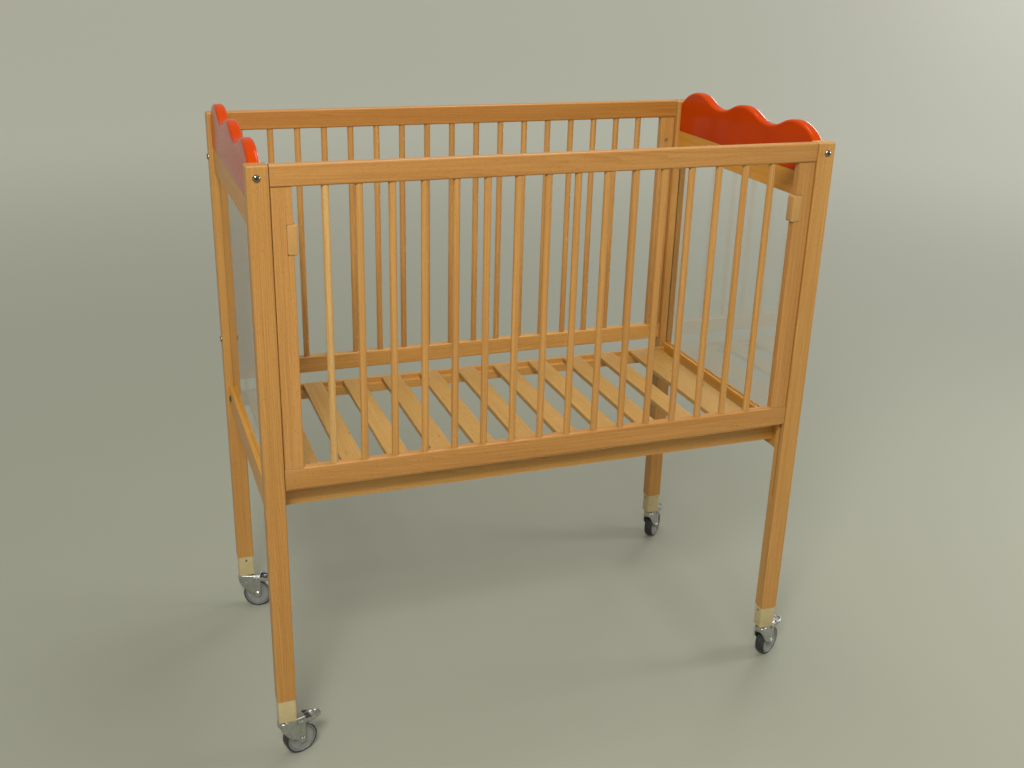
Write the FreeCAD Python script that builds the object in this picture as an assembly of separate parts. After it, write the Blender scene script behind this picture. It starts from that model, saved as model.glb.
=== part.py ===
import FreeCAD, Part
import math
import os

# Pediatric cot on casters, with beech posts and rails, a wave-topped lacquered board and a
# clear sheet at each end, a fixed rear side, a drop side at the front and a slatted base.
# Millimetres. X runs along the cot, the drop side faces -Y, and Z = 0 is the floor.
# The origin is on the floor, centred between the four posts.

# Overall frame
POST_CENTRE_X = 609.2
POST_CENTRE_Y = 324.1
POST_SIZE_X = 41.8
POST_SIZE_Y = 35.2
POST_TOP = 1327.0
POST_FOOT = 155.0
POST_EDGE = 4.0
POST_TOP_EDGE = 2.5

# Caster sockets on the post feet
SLEEVE_SIZE_X = 39.5
SLEEVE_SIZE_Y = 33.0
SLEEVE_FOOT = 97.6
SLEEVE_EDGE = 5.0
SPIGOT_SIZE_X = 31.0
SPIGOT_SIZE_Y = 25.0
SPIGOT_FOOT = 132.0
SCREW_Z = 143.0
SCREW_HEAD_RADIUS = 3.2
SCREW_HEAD_HEIGHT = 1.2

# End frames
END_RAIL_THICK = 23.0
END_TENON_THICK = 10.0
END_TENON_LENGTH = 16.0
END_BOTTOM_RAIL_Z = (584.0, 650.0)
END_BOTTOM_TENON_Z = (592.0, 636.0)
END_TOP_RAIL_Z = (1194.5, 1250.0)
END_TOP_TENON_Z = (1208.0, 1242.0)
SHEET_THICK = 5.0
SHEET_GROOVE = 8.0
SHEET_POST_GROOVE = 6.0

# Wave-topped crest boards
CREST_THICK = 24.0
CREST_HUMP_Z = 1358.0
CREST_VALLEY_Z = 1333.0
CREST_END_Z = 1324.0
CREST_HUMP_Y = 224.0
CREST_EDGE = 5.0
END_BOLT_Z = 1304.0
END_BOLT_X = 611.0

# Base with slats
BASE_RAIL_WIDTH = 25.0
BASE_RAIL_Z = (604.0, 637.0)
FRONT_BASE_RAIL_Y = -271.5
REAR_BASE_RAIL_Y = 293.5
REBATE_WIDTH = 15.0
SLAT_THICK = 12.0
SLAT_WIDTH = 50.0
SLAT_PITCH = 103.0
SLAT_EDGE = 1.2
SLATS_EACH_SIDE = 4
END_SLAT_X = (487.0, 580.0)
BASE_BOLT_Z = 620.5

# Both long sides
SIDE_THICK = 20.0
STILE_WIDTH = 40.0
BAR_RADIUS = 7.5
BAR_PITCH = 64.5
BARS = 16
SIDE_EDGE = 4.0
STILE_EDGE = 3.0

# Fixed rear side
REAR_FRONT_Y = 319.5
REAR_TOP_RAIL_Z = (1283.0, 1327.0)
REAR_BOTTOM_RAIL_Z = (660.0, 703.0)
SIDE_BOLT_Y = 329.0
SIDE_BOLT_HEIGHTS = (769.5, 1223.5)
BARREL_NUT_X = 565.5
BARREL_NUT_RADIUS = 5.0
BARREL_NUT_DEPTH = 15.0

# Drop side
DROP_FRONT_Y = -337.6
DROP_HALF_WIDTH = 587.0
DROP_TOP_RAIL_Z = (1285.0, 1327.0)
DROP_BOTTOM_RAIL_Z = (664.0, 711.0)
DROP_TRAVEL = 208.0
GROOVE_Y = -324.5
GROOVE_WIDTH = 9.0
GROOVE_DEPTH = 9.0
STUD_RADIUS = 4.2
STUD_REACH = 7.5
STUD_BURIED = 14.0
LOWER_STUD_Z = 672.0
UPPER_STUD_Z = 1303.0
STUD_PLAY = 0.5

# Catches in the drop side's stiles
CATCH_X = (540.0, 560.0)
CATCH_Z = (1155.0, 1214.0)
CATCH_PROUD = 2.0
CATCH_PLAY = 0.3
CATCH_EDGE = 2.5
LATCH_RADIUS = 4.0
LATCH_RUNNING_FIT = 0.06
LATCH_NOSE_X = 596.0
LATCH_BURIED = 8.0

# Domed bolts
BOLT_RADIUS = 3.0
BOLT_HEAD_RADIUS = 7.5
BOLT_HEAD_HEIGHT = 4.0
BOLT_SOCKET_RADIUS = 2.6
BOLT_SOCKET_DEPTH = 2.6
END_BOLT_LENGTH = 70.0
BASE_BOLT_LENGTH = 62.0

# Casters
WHEEL_RADIUS = 37.5
WHEEL_TRAIL = 29.0
TYRE_WIDTH = 24.0
TREAD_WIDTH = 17.0
TYRE_BED_RADIUS = 32.0
WEB_WIDTH = 20.0
HUB_RADIUS = 8.0
HUB_WIDTH = 24.8
AXLE_RADIUS = 4.0
AXLE_HEAD_RADIUS = 6.8
AXLE_HEAD_HEIGHT = 3.2
RUNNING_FIT = 0.06
FORK_GAP = 25.4
FORK_THICK = 2.2
FORK_TOP = 94.8
FORK_FRONT_X = -21.0
FORK_BACK_X = 38.0
FORK_FRONT_Z = 82.0
FORK_BELLY = (-6.5, 57.0)
FORK_BOSS_RADIUS = 9.0
FORK_CORNER = 10.0
CUP_RADIUS = 16.0
CUP_FOOT = 95.2
STEM_SIZE = 9.6
KINGPIN_RADIUS = 4.5
KINGPIN_HEAD_RADIUS = 7.0
KINGPIN_HEAD_Z = (89.8, 92.2)

# Brake pedals: a pressed tray outside the fork's legs, with a shoe over the tyre. The rim and
# the floor are lines of (along, height), and the floor steps up to a pad at the nose.
PEDAL_PIVOT = (28.0, 84.0)
PEDAL_PIN_RADIUS = 2.5
PEDAL_WALL = 1.8
PEDAL_HALF_WIDTH = 17.0
PEDAL_TAPER_X = (52.0, 70.0)
PEDAL_NOSE_HALF_WIDTH = 14.5
PEDAL_NOSE_X = 82.0
PEDAL_FLOOR_X = 42.0
PEDAL_RIM = ((18.0, 91.0), (48.0, 88.5), (66.0, 84.0), (82.0, 83.0))
PEDAL_FLOOR = ((18.0, 80.8), (62.0, 79.8), (65.0, 82.0), (82.0, 82.0))
SHOE_X = (38.0, 50.0)
SHOE_FOOT_Z = (77.6, 76.4)
SHOE_TOP_Z = 79.5
SHOE_WIDTH = 20.0

# Each corner: its name, its side of the cot along X and Y, and where its caster trails,
# in degrees from +X towards +Y
CORNERS = (
    ("front_left", -1, -1, 17.0),
    ("front_right", 1, -1, 29.0),
    ("rear_left", -1, 1, -16.0),
    ("rear_right", 1, 1, 42.0),
)
ENDS = (("left", -1), ("right", 1))

# Worked out from the sizes above
POST_IN_X = POST_CENTRE_X - POST_SIZE_X / 2
POST_OUT_X = POST_CENTRE_X + POST_SIZE_X / 2
POST_IN_Y = POST_CENTRE_Y - POST_SIZE_Y / 2
POST_OUT_Y = POST_CENTRE_Y + POST_SIZE_Y / 2
SHEET_Z = (END_BOTTOM_RAIL_Z[1] - SHEET_GROOVE, END_TOP_RAIL_Z[0] + SHEET_GROOVE)
GROOVE_Z = (
    LOWER_STUD_Z - DROP_TRAVEL - STUD_RADIUS - STUD_PLAY,
    UPPER_STUD_Z + STUD_RADIUS + STUD_PLAY,
)
END_RAIL_IN_X = POST_CENTRE_X - END_RAIL_THICK / 2
END_RAIL_OUT_X = POST_CENTRE_X + END_RAIL_THICK / 2
DROP_BACK_Y = DROP_FRONT_Y + SIDE_THICK
REAR_BACK_Y = REAR_FRONT_Y + SIDE_THICK

X_DIR = FreeCAD.Vector(1, 0, 0)
Y_DIR = FreeCAD.Vector(0, 1, 0)
Z_DIR = FreeCAD.Vector(0, 0, 1)


def block(x_span, y_span, z_span):
    """A box between two limits on each axis, given in either order."""
    low = [min(span) for span in (x_span, y_span, z_span)]
    size = [abs(span[1] - span[0]) for span in (x_span, y_span, z_span)]
    return Part.makeBox(size[0], size[1], size[2], FreeCAD.Vector(*low))


def centred(middle, size):
    return (middle - size / 2, middle + size / 2)


def rod(radius, start, end):
    """A round rod between two points."""
    run = end.sub(start)
    return Part.makeCylinder(radius, run.Length, start, run)


def edges_along(shape, direction, keep=lambda middle: True):
    """The straight edges that run along a direction and whose middle is wanted."""
    found = []
    for edge in shape.Edges:
        if not isinstance(edge.Curve, Part.Line):
            continue
        if abs(edge.tangentAt(edge.FirstParameter).dot(direction)) < 0.999:
            continue
        if keep(edge.CenterOfMass):
            found.append(edge)
    return found


def eased_post(x_span, y_span, z_span):
    """A square post with rounded corners, and its top arris eased."""
    post = block(x_span, y_span, z_span)
    post = post.makeFillet(POST_EDGE, edges_along(post, Z_DIR))
    top = [edge for edge in post.Edges if edge.BoundBox.ZMin > max(z_span) - 0.01]
    return post.makeChamfer(POST_TOP_EDGE, top)


def eased_rail(x_span, y_span, z_span, direction, radius):
    """A rail with its four long edges rounded."""
    rail = block(x_span, y_span, z_span)
    return rail.makeFillet(radius, edges_along(rail, direction))


def profile_face(points, arcs=()):
    """A face from a ring of points, where arcs maps a point's number to the middle of the
    arc that leaves it."""
    through = dict(arcs)
    edges = []
    for number, start in enumerate(points):
        end = points[(number + 1) % len(points)]
        if number in through:
            edges.append(Part.Arc(start, through[number], end).toShape())
        else:
            edges.append(Part.LineSegment(start, end).toShape())
    return Part.Face(Part.Wire(edges))


os.makedirs("parts", exist_ok=True)


def save(node, *shapes):
    """Write one node: a single solid, or a group of separate ones."""
    solids = [solid for shape in shapes for solid in shape.Solids]
    shape = solids[0] if len(solids) == 1 else Part.makeCompound(solids)
    if not shape.isValid():
        raise ValueError("not valid: " + node)
    shape.exportStep("parts/" + node + ".step")


# ---- domed socket bolts ---------------------------------------------------------------

def domed_bolt(seat, inward, length):
    """A bolt whose head stands on a face at seat, with its shank running inward."""
    height = BOLT_HEAD_HEIGHT
    outline = profile_face(
        [
            FreeCAD.Vector(0, 0, height),
            FreeCAD.Vector(BOLT_HEAD_RADIUS, 0, 0),
            FreeCAD.Vector(0, 0, 0),
        ],
        {0: FreeCAD.Vector(BOLT_HEAD_RADIUS * 0.71, 0, height * 0.64)},
    )
    head = outline.revolve(FreeCAD.Vector(0, 0, 0), Z_DIR, 360)
    shank = rod(BOLT_RADIUS, FreeCAD.Vector(0, 0, 0.5), FreeCAD.Vector(0, 0, -length))
    hexagon = Part.makePolygon(
        [
            FreeCAD.Vector(
                BOLT_SOCKET_RADIUS * math.cos(math.radians(60 * corner)),
                BOLT_SOCKET_RADIUS * math.sin(math.radians(60 * corner)),
                height - BOLT_SOCKET_DEPTH,
            )
            for corner in range(7)
        ]
    )
    socket = Part.Face(hexagon).extrude(FreeCAD.Vector(0, 0, height))
    bolt = head.fuse(shank).cut(socket)
    turn = FreeCAD.Rotation(Z_DIR, inward.negative())
    bolt.Placement = FreeCAD.Placement(seat, turn)
    return bolt


def bolt_hole(seat, inward, length):
    return rod(BOLT_RADIUS, seat, seat.add(FreeCAD.Vector(inward).multiply(length)))


# ---- where the bolts go ---------------------------------------------------------------

end_bolt_places = []
side_bolt_places = []
for _, side_x, side_y, _ in CORNERS:
    seat = FreeCAD.Vector(side_x * END_BOLT_X, side_y * POST_OUT_Y, END_BOLT_Z)
    end_bolt_places.append((seat, Y_DIR * -side_y, END_BOLT_LENGTH))
for _, side_x in ENDS:
    for height in SIDE_BOLT_HEIGHTS:
        seat = FreeCAD.Vector(side_x * POST_OUT_X, SIDE_BOLT_Y, height)
        side_bolt_places.append((seat, X_DIR * -side_x, POST_OUT_X - BARREL_NUT_X))
base_bolt_places = []
for _, side_x in ENDS:
    for rail_y in (FRONT_BASE_RAIL_Y, REAR_BASE_RAIL_Y):
        seat = FreeCAD.Vector(side_x * END_RAIL_OUT_X, rail_y, BASE_BOLT_Z)
        base_bolt_places.append((seat, X_DIR * -side_x, BASE_BOLT_LENGTH))


def drilled(shape, places):
    """Cut the bolt holes that meet this shape."""
    for place in places:
        shape = shape.cut(bolt_hole(*place))
    return shape


# ---- posts, with mortises, sheet grooves and the drop side's guide grooves ----------------

def guide_groove(side_x):
    """The groove in a front post's inner face that the drop side's studs run in."""
    face_x = side_x * POST_IN_X
    floor_x = side_x * (POST_IN_X + GROOVE_DEPTH)
    half = GROOVE_WIDTH / 2
    low, high = GROOVE_Z[0] + half, GROOVE_Z[1] - half
    groove = block((face_x, floor_x), centred(GROOVE_Y, GROOVE_WIDTH), (low, high))
    for end_z in (low, high):
        groove = groove.fuse(
            rod(half, FreeCAD.Vector(face_x, GROOVE_Y, end_z), FreeCAD.Vector(floor_x, GROOVE_Y, end_z))
        )
    return groove


def tenon(side_x, side_y, z_span):
    """A rail's tenon, which is also the mortise it fills."""
    y_span = (side_y * POST_IN_Y, side_y * (POST_IN_Y + END_TENON_LENGTH))
    return block(centred(side_x * POST_CENTRE_X, END_TENON_THICK), y_span, z_span)


def make_post(name, side_x, side_y):
    x_middle, y_middle = side_x * POST_CENTRE_X, side_y * POST_CENTRE_Y
    post = eased_post(
        centred(x_middle, POST_SIZE_X), centred(y_middle, POST_SIZE_Y), (POST_FOOT, POST_TOP)
    )
    spigot = block(
        centred(x_middle, SPIGOT_SIZE_X), centred(y_middle, SPIGOT_SIZE_Y), (SPIGOT_FOOT, POST_FOOT)
    )
    post = post.fuse(spigot)
    post = post.cut(tenon(side_x, side_y, END_BOTTOM_TENON_Z))
    post = post.cut(tenon(side_x, side_y, END_TOP_TENON_Z))
    sheet_slot = block(
        centred(x_middle, SHEET_THICK),
        (side_y * POST_IN_Y, side_y * (POST_IN_Y + SHEET_POST_GROOVE)),
        SHEET_Z,
    )
    post = post.cut(sheet_slot)
    if side_y < 0:
        post = post.cut(guide_groove(side_x))
        post = drilled(post, end_bolt_places)
    else:
        post = drilled(post, end_bolt_places + side_bolt_places)
    save("post_" + name, post)


# ---- foot sleeves and their screws ---------------------------------------------------------

def screw_head(side_x, side_y):
    """The rear left screw is on the sleeve's front face, and the others on the face that
    looks along the cot's inside."""
    if side_x < 0 and side_y > 0:
        seat_y = side_y * POST_CENTRE_Y - SLEEVE_SIZE_Y / 2
        seat = FreeCAD.Vector(side_x * POST_CENTRE_X, seat_y, SCREW_Z)
        return rod(SCREW_HEAD_RADIUS, seat, seat - Y_DIR * SCREW_HEAD_HEIGHT)
    seat_x = side_x * (POST_CENTRE_X - SLEEVE_SIZE_X / 2)
    seat = FreeCAD.Vector(seat_x, side_y * POST_CENTRE_Y, SCREW_Z)
    return rod(SCREW_HEAD_RADIUS, seat, seat - X_DIR * side_x * SCREW_HEAD_HEIGHT)


def make_sleeve(side_x, side_y):
    x_middle, y_middle = side_x * POST_CENTRE_X, side_y * POST_CENTRE_Y
    sleeve = block(
        centred(x_middle, SLEEVE_SIZE_X), centred(y_middle, SLEEVE_SIZE_Y), (SLEEVE_FOOT, POST_FOOT)
    )
    sleeve = sleeve.makeFillet(SLEEVE_EDGE, edges_along(sleeve, Z_DIR))
    pocket = block(
        centred(x_middle, SPIGOT_SIZE_X), centred(y_middle, SPIGOT_SIZE_Y), (SPIGOT_FOOT, POST_FOOT)
    )
    stem_hole = block(
        centred(x_middle, STEM_SIZE), centred(y_middle, STEM_SIZE), (SLEEVE_FOOT, SPIGOT_FOOT)
    )
    return sleeve.cut([pocket, stem_hole])


for corner_name, side_x, side_y, _ in CORNERS:
    make_post(corner_name, side_x, side_y)
save("foot_sleeves", *[make_sleeve(side_x, side_y) for _, side_x, side_y, _ in CORNERS])
save("sleeve_screws", *[screw_head(side_x, side_y) for _, side_x, side_y, _ in CORNERS])


# ---- end frames: rails, clear sheet and wave-topped crest board -----------------------------

def make_end_rail(side_x, z_span, tenon_z):
    rail = eased_rail(
        centred(side_x * POST_CENTRE_X, END_RAIL_THICK), (-POST_IN_Y, POST_IN_Y), z_span, Y_DIR, 2.0
    )
    rail = rail.fuse([tenon(side_x, side_y, tenon_z) for side_y in (-1, 1)])
    return rail.cut(make_sheet(side_x))


def make_sheet(side_x):
    reach_y = POST_IN_Y + SHEET_POST_GROOVE
    return block(centred(side_x * POST_CENTRE_X, SHEET_THICK), (-reach_y, reach_y), SHEET_Z)


def hump_arc(back_x, top, radius, start_y, end_y):
    """Three points along an arc whose crest, or valley for a negative radius, is at top."""
    points = []
    for y in (start_y, (start_y + end_y) / 2, end_y):
        drop = abs(radius) - math.sqrt(radius * radius - (y - top[0]) ** 2)
        points.append(FreeCAD.Vector(back_x, y, top[1] - math.copysign(drop, radius)))
    return points


def make_crest(side_x):
    """The board's top edge is a wave of tangent arcs: three humps and two valleys of one
    radius, then a tighter arc from each outer hump down to its post."""
    back_x = side_x * POST_CENTRE_X - CREST_THICK / 2
    foot_z = END_TOP_RAIL_Z[1]
    half_pitch = CREST_HUMP_Y / 2
    height = CREST_HUMP_Z - CREST_VALLEY_Z
    wave_radius = (half_pitch * half_pitch + height * height) / (4 * height)
    end_run = POST_IN_Y - CREST_HUMP_Y
    end_drop = CREST_HUMP_Z - CREST_END_Z
    end_radius = (end_run * end_run + end_drop * end_drop) / (2 * end_drop)

    arcs = [hump_arc(back_x, (-CREST_HUMP_Y, CREST_HUMP_Z), end_radius, -POST_IN_Y, -CREST_HUMP_Y)]
    start_y = -CREST_HUMP_Y
    for number in range(-2, 3):
        is_hump = number % 2 == 0
        top = (number * half_pitch, CREST_HUMP_Z if is_hump else CREST_VALLEY_Z)
        end_y = min((number + 0.5) * half_pitch, CREST_HUMP_Y)
        radius = wave_radius if is_hump else -wave_radius
        arcs.append(hump_arc(back_x, top, radius, start_y, end_y))
        start_y = end_y
    arcs.append(hump_arc(back_x, (CREST_HUMP_Y, CREST_HUMP_Z), end_radius, CREST_HUMP_Y, POST_IN_Y))

    wave = [Part.Arc(*points).toShape() for points in arcs]
    foot = Part.makePolygon(
        [
            arcs[-1][2],
            FreeCAD.Vector(back_x, POST_IN_Y, foot_z),
            FreeCAD.Vector(back_x, -POST_IN_Y, foot_z),
            arcs[0][0],
        ]
    )
    board = Part.Face(Part.Wire(wave + foot.Edges)).extrude(X_DIR * CREST_THICK)
    wave_edges = [edge for edge in board.Edges if isinstance(edge.Curve, Part.Circle)]
    board = board.makeChamfer(CREST_EDGE, wave_edges)
    return drilled(board, end_bolt_places)


for end_name, side_x in ENDS:
    bottom_rail = make_end_rail(side_x, END_BOTTOM_RAIL_Z, END_BOTTOM_TENON_Z)
    save("end_bottom_rail_" + end_name, drilled(bottom_rail, base_bolt_places))
    save("end_top_rail_" + end_name, make_end_rail(side_x, END_TOP_RAIL_Z, END_TOP_TENON_Z))
    save("clear_sheet_" + end_name, make_sheet(side_x))
    save("crest_board_" + end_name, make_crest(side_x))
save("end_bolts", *[domed_bolt(*place) for place in end_bolt_places])


# ---- base: two rebated rails and the slats that lie in them -----------------------------------

SLAT_Z = (BASE_RAIL_Z[1] - SLAT_THICK, BASE_RAIL_Z[1])
SLAT_Y = (
    FRONT_BASE_RAIL_Y + BASE_RAIL_WIDTH / 2 - REBATE_WIDTH,
    REAR_BASE_RAIL_Y - BASE_RAIL_WIDTH / 2 + REBATE_WIDTH,
)


def make_base_rail(middle_y):
    rail = block(
        (-END_RAIL_IN_X, END_RAIL_IN_X), centred(middle_y, BASE_RAIL_WIDTH), BASE_RAIL_Z
    )
    rebate = block((-END_RAIL_IN_X, END_RAIL_IN_X), SLAT_Y, SLAT_Z)
    return drilled(rail.cut(rebate), base_bolt_places)


def make_slat(x_span):
    slat = block(x_span, SLAT_Y, SLAT_Z)
    top_z = SLAT_Z[1] - 0.01
    return slat.makeChamfer(SLAT_EDGE, edges_along(slat, Y_DIR, lambda middle: middle.z > top_z))


slats = [
    make_slat(centred(number * SLAT_PITCH, SLAT_WIDTH))
    for number in range(-SLATS_EACH_SIDE, SLATS_EACH_SIDE + 1)
]
slats += [make_slat([side_x * x for x in END_SLAT_X]) for _, side_x in ENDS]
save("base_rail_front", make_base_rail(FRONT_BASE_RAIL_Y))
save("base_rail_rear", make_base_rail(REAR_BASE_RAIL_Y))
save("slats", *slats)
save("base_bolts", *[domed_bolt(*place) for place in base_bolt_places])


# ---- the two long sides, built alike -----------------------------------------------------------

def side_bars(middle_y, bottom_z, top_z):
    """The round bars of one side, which stand between its two rails."""
    first_x = -BAR_PITCH * (BARS - 1) / 2
    bars = []
    for number in range(BARS):
        x = first_x + number * BAR_PITCH
        start = FreeCAD.Vector(x, middle_y, bottom_z)
        bars.append(rod(BAR_RADIUS, start, FreeCAD.Vector(x, middle_y, top_z)))
    return bars


def side_rail(half_width, y_span, z_span):
    return eased_rail((-half_width, half_width), y_span, z_span, X_DIR, SIDE_EDGE)


def side_stile(side_x, half_width, y_span, z_span):
    x_span = (side_x * (half_width - STILE_WIDTH), side_x * half_width)
    return eased_rail(x_span, y_span, z_span, Z_DIR, STILE_EDGE)


# Fixed rear side, bolted through the posts into barrel nuts
rear_y = (REAR_FRONT_Y, REAR_BACK_Y)
rear_bars = side_bars(sum(rear_y) / 2, REAR_BOTTOM_RAIL_Z[1], REAR_TOP_RAIL_Z[0])
save("rear_top_rail", side_rail(POST_IN_X, rear_y, REAR_TOP_RAIL_Z))
save("rear_bottom_rail", side_rail(POST_IN_X, rear_y, REAR_BOTTOM_RAIL_Z))
save("rear_bars", *rear_bars)

barrel_nuts = []
for end_name, side_x in ENDS:
    stile = side_stile(side_x, POST_IN_X, rear_y, (REAR_BOTTOM_RAIL_Z[1], REAR_TOP_RAIL_Z[0]))
    for height in SIDE_BOLT_HEIGHTS:
        mouth = FreeCAD.Vector(side_x * BARREL_NUT_X, REAR_FRONT_Y, height)
        nut = rod(BARREL_NUT_RADIUS, mouth, mouth + Y_DIR * BARREL_NUT_DEPTH)
        stile = stile.cut(nut)
        barrel_nuts.append(drilled(nut, side_bolt_places))
    save("rear_stile_" + end_name, drilled(stile, side_bolt_places))
save("barrel_nuts", *barrel_nuts)
save("side_bolts", *[domed_bolt(*place) for place in side_bolt_places])

# Drop side, with studs that run in the front posts' grooves
drop_y = (DROP_FRONT_Y, DROP_BACK_Y)
drop_bars = side_bars(sum(drop_y) / 2, DROP_BOTTOM_RAIL_Z[1], DROP_TOP_RAIL_Z[0])
studs = []
for _, side_x in ENDS:
    for stud_z in (LOWER_STUD_Z, UPPER_STUD_Z):
        inner = FreeCAD.Vector(side_x * (DROP_HALF_WIDTH - STUD_BURIED), GROOVE_Y, stud_z)
        outer = FreeCAD.Vector(side_x * (DROP_HALF_WIDTH + STUD_REACH), GROOVE_Y, stud_z)
        studs.append(rod(STUD_RADIUS, inner, outer))
stud_group = Part.makeCompound(studs)
drop_top_rail = side_rail(DROP_HALF_WIDTH, drop_y, DROP_TOP_RAIL_Z)
drop_bottom_rail = side_rail(DROP_HALF_WIDTH, drop_y, DROP_BOTTOM_RAIL_Z)
save("drop_top_rail", drop_top_rail.cut(stud_group))
save("drop_bottom_rail", drop_bottom_rail.cut(stud_group))
save("drop_bars", *drop_bars)
save("guide_studs", *studs)


# ---- catches: a pale block that slides in a notch of the stile and carries the latch bolt ------

def make_catch(end_name, side_x):
    z_middle = sum(CATCH_Z) / 2
    catch_y = (DROP_FRONT_Y - CATCH_PROUD, DROP_BACK_Y + CATCH_PROUD)
    catch_x = [side_x * x for x in CATCH_X]
    grip = block(catch_x, catch_y, CATCH_Z)
    grip = grip.makeChamfer(CATCH_EDGE, edges_along(grip, Z_DIR) + edges_along(grip, X_DIR))
    latch = rod(
        LATCH_RADIUS,
        FreeCAD.Vector(side_x * (CATCH_X[1] - LATCH_BURIED), GROOVE_Y, z_middle),
        FreeCAD.Vector(side_x * LATCH_NOSE_X, GROOVE_Y, z_middle),
    )
    save("catch_" + end_name, grip.cut(latch))
    save("latch_bolt_" + end_name, latch)

    stile_z = (DROP_BOTTOM_RAIL_Z[1], DROP_TOP_RAIL_Z[0])
    stile = side_stile(side_x, DROP_HALF_WIDTH, drop_y, stile_z)
    notch = block(
        (side_x * (CATCH_X[0] - CATCH_PLAY), side_x * (CATCH_X[1] + CATCH_PLAY)),
        catch_y,
        (CATCH_Z[0] - CATCH_PLAY, CATCH_Z[1] + CATCH_PLAY),
    )
    bore = rod(
        LATCH_RADIUS + LATCH_RUNNING_FIT,
        FreeCAD.Vector(side_x * CATCH_X[1], GROOVE_Y, z_middle),
        FreeCAD.Vector(side_x * DROP_HALF_WIDTH, GROOVE_Y, z_middle),
    )
    save("drop_stile_" + end_name, stile.cut(notch).cut(bore))


for end_name, side_x in ENDS:
    make_catch(end_name, side_x)


# ---- casters: made trailing along +X about the swivel axis, then turned and set in place --------

def local(x, y, z):
    return FreeCAD.Vector(x, y, z)


def across(radius, x, z, half_width):
    """A rod across the caster, centred on its middle plane."""
    return rod(radius, local(x, -half_width, z), local(x, half_width, z))


def fork_plan(inset, back_x, top_z):
    """The fork from above: straight sides and rounded front corners."""
    front_x = FORK_FRONT_X + inset
    width = FORK_GAP + 2 * (FORK_THICK - inset)
    body = block((front_x, back_x), centred(0, width), (0, top_z))
    front = edges_along(body, Z_DIR, lambda middle: middle.x < front_x + 1)
    return body.makeFillet(FORK_CORNER - inset, front)


def make_fork():
    """Pressed steel: a flat crown, and two legs that belly forward and reach back to the
    axle."""
    half = FORK_GAP / 2 + FORK_THICK
    side = profile_face(
        [
            local(FORK_FRONT_X, -half, FORK_TOP),
            local(FORK_BACK_X, -half, FORK_TOP),
            local(WHEEL_TRAIL + FORK_BOSS_RADIUS, -half, WHEEL_RADIUS),
            local(WHEEL_TRAIL - FORK_BOSS_RADIUS, -half, WHEEL_RADIUS),
            local(FORK_FRONT_X, -half, FORK_FRONT_Z),
        ],
        {
            2: local(WHEEL_TRAIL, -half, WHEEL_RADIUS - FORK_BOSS_RADIUS),
            3: local(FORK_BELLY[0], -half, FORK_BELLY[1]),
        },
    )
    fork = side.extrude(Y_DIR * half * 2).common(fork_plan(0, FORK_BACK_X, FORK_TOP))
    inside = fork_plan(FORK_THICK, FORK_BACK_X + 1, FORK_TOP - FORK_THICK)
    kingpin_hole = rod(KINGPIN_RADIUS + RUNNING_FIT, local(0, 0, 0), local(0, 0, FORK_TOP))
    pedal_hole = across(PEDAL_PIN_RADIUS + RUNNING_FIT, PEDAL_PIVOT[0], PEDAL_PIVOT[1], half)
    axle_hole = across(AXLE_RADIUS, WHEEL_TRAIL, WHEEL_RADIUS, half)
    return fork.cut([inside, kingpin_hole, pedal_hole, axle_hole])


def make_axle():
    """A bolt across the fork, with a hexagon at each end."""
    half = FORK_GAP / 2 + FORK_THICK
    shank = across(AXLE_RADIUS, WHEEL_TRAIL, WHEEL_RADIUS, half)
    heads = []
    for side in (-1, 1):
        corners = [
            local(
                WHEEL_TRAIL + AXLE_HEAD_RADIUS * math.cos(math.radians(60 * corner)),
                side * half,
                WHEEL_RADIUS + AXLE_HEAD_RADIUS * math.sin(math.radians(60 * corner)),
            )
            for corner in range(6)
        ]
        heads.append(profile_face(corners).extrude(Y_DIR * side * AXLE_HEAD_HEIGHT))
    return shank.fuse(heads)


def turned(points):
    """Revolve a half-profile of (radius, offset along the axle) about the wheel's axle."""
    ring = [local(WHEEL_TRAIL + radius, offset, WHEEL_RADIUS) for radius, offset in points]
    return profile_face(ring).revolve(local(WHEEL_TRAIL, 0, WHEEL_RADIUS), Y_DIR, 360)


def mirrored_profile(near_side):
    """One side's profile points, then the same on the other side of the middle plane."""
    return near_side + [(radius, -offset) for radius, offset in reversed(near_side)]


def make_wheel():
    """Hub and disc in one moulding, with a running bore for the axle."""
    near_side = [
        (AXLE_RADIUS + RUNNING_FIT, HUB_WIDTH / 2),
        (HUB_RADIUS, HUB_WIDTH / 2),
        (HUB_RADIUS, WEB_WIDTH / 2),
        (TYRE_BED_RADIUS, WEB_WIDTH / 2),
    ]
    return turned(mirrored_profile(near_side))


def make_tyre():
    """A solid rubber ring on the disc, its sides sloping in to the tread."""
    near_side = [(TYRE_BED_RADIUS, TYRE_WIDTH / 2), (WHEEL_RADIUS, TREAD_WIDTH / 2)]
    return turned(mirrored_profile(near_side))


def pedal_plan(inset):
    """The pedal from above: straight sides that draw in to a round nose."""
    front_x = PEDAL_RIM[0][0]
    side, nose = PEDAL_HALF_WIDTH - inset, PEDAL_NOSE_HALF_WIDTH - inset
    outline = profile_face(
        [
            local(front_x, -side, 0),
            local(PEDAL_TAPER_X[0], -side, 0),
            local(PEDAL_TAPER_X[1], -nose, 0),
            local(PEDAL_TAPER_X[1], nose, 0),
            local(PEDAL_TAPER_X[0], side, 0),
            local(front_x, side, 0),
        ],
        {2: local(PEDAL_NOSE_X - inset, 0, 0)},
    )
    return outline.extrude(Z_DIR * FORK_TOP)


def pedal_side(drop):
    """Everything under the pedal's rim, down to its floor's line dropped by this much."""
    ring = list(PEDAL_RIM) + [(x, z - drop) for x, z in reversed(PEDAL_FLOOR)]
    outline = profile_face([local(x, -PEDAL_HALF_WIDTH, z) for x, z in ring])
    return outline.extrude(Y_DIR * 2 * PEDAL_HALF_WIDTH)


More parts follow.
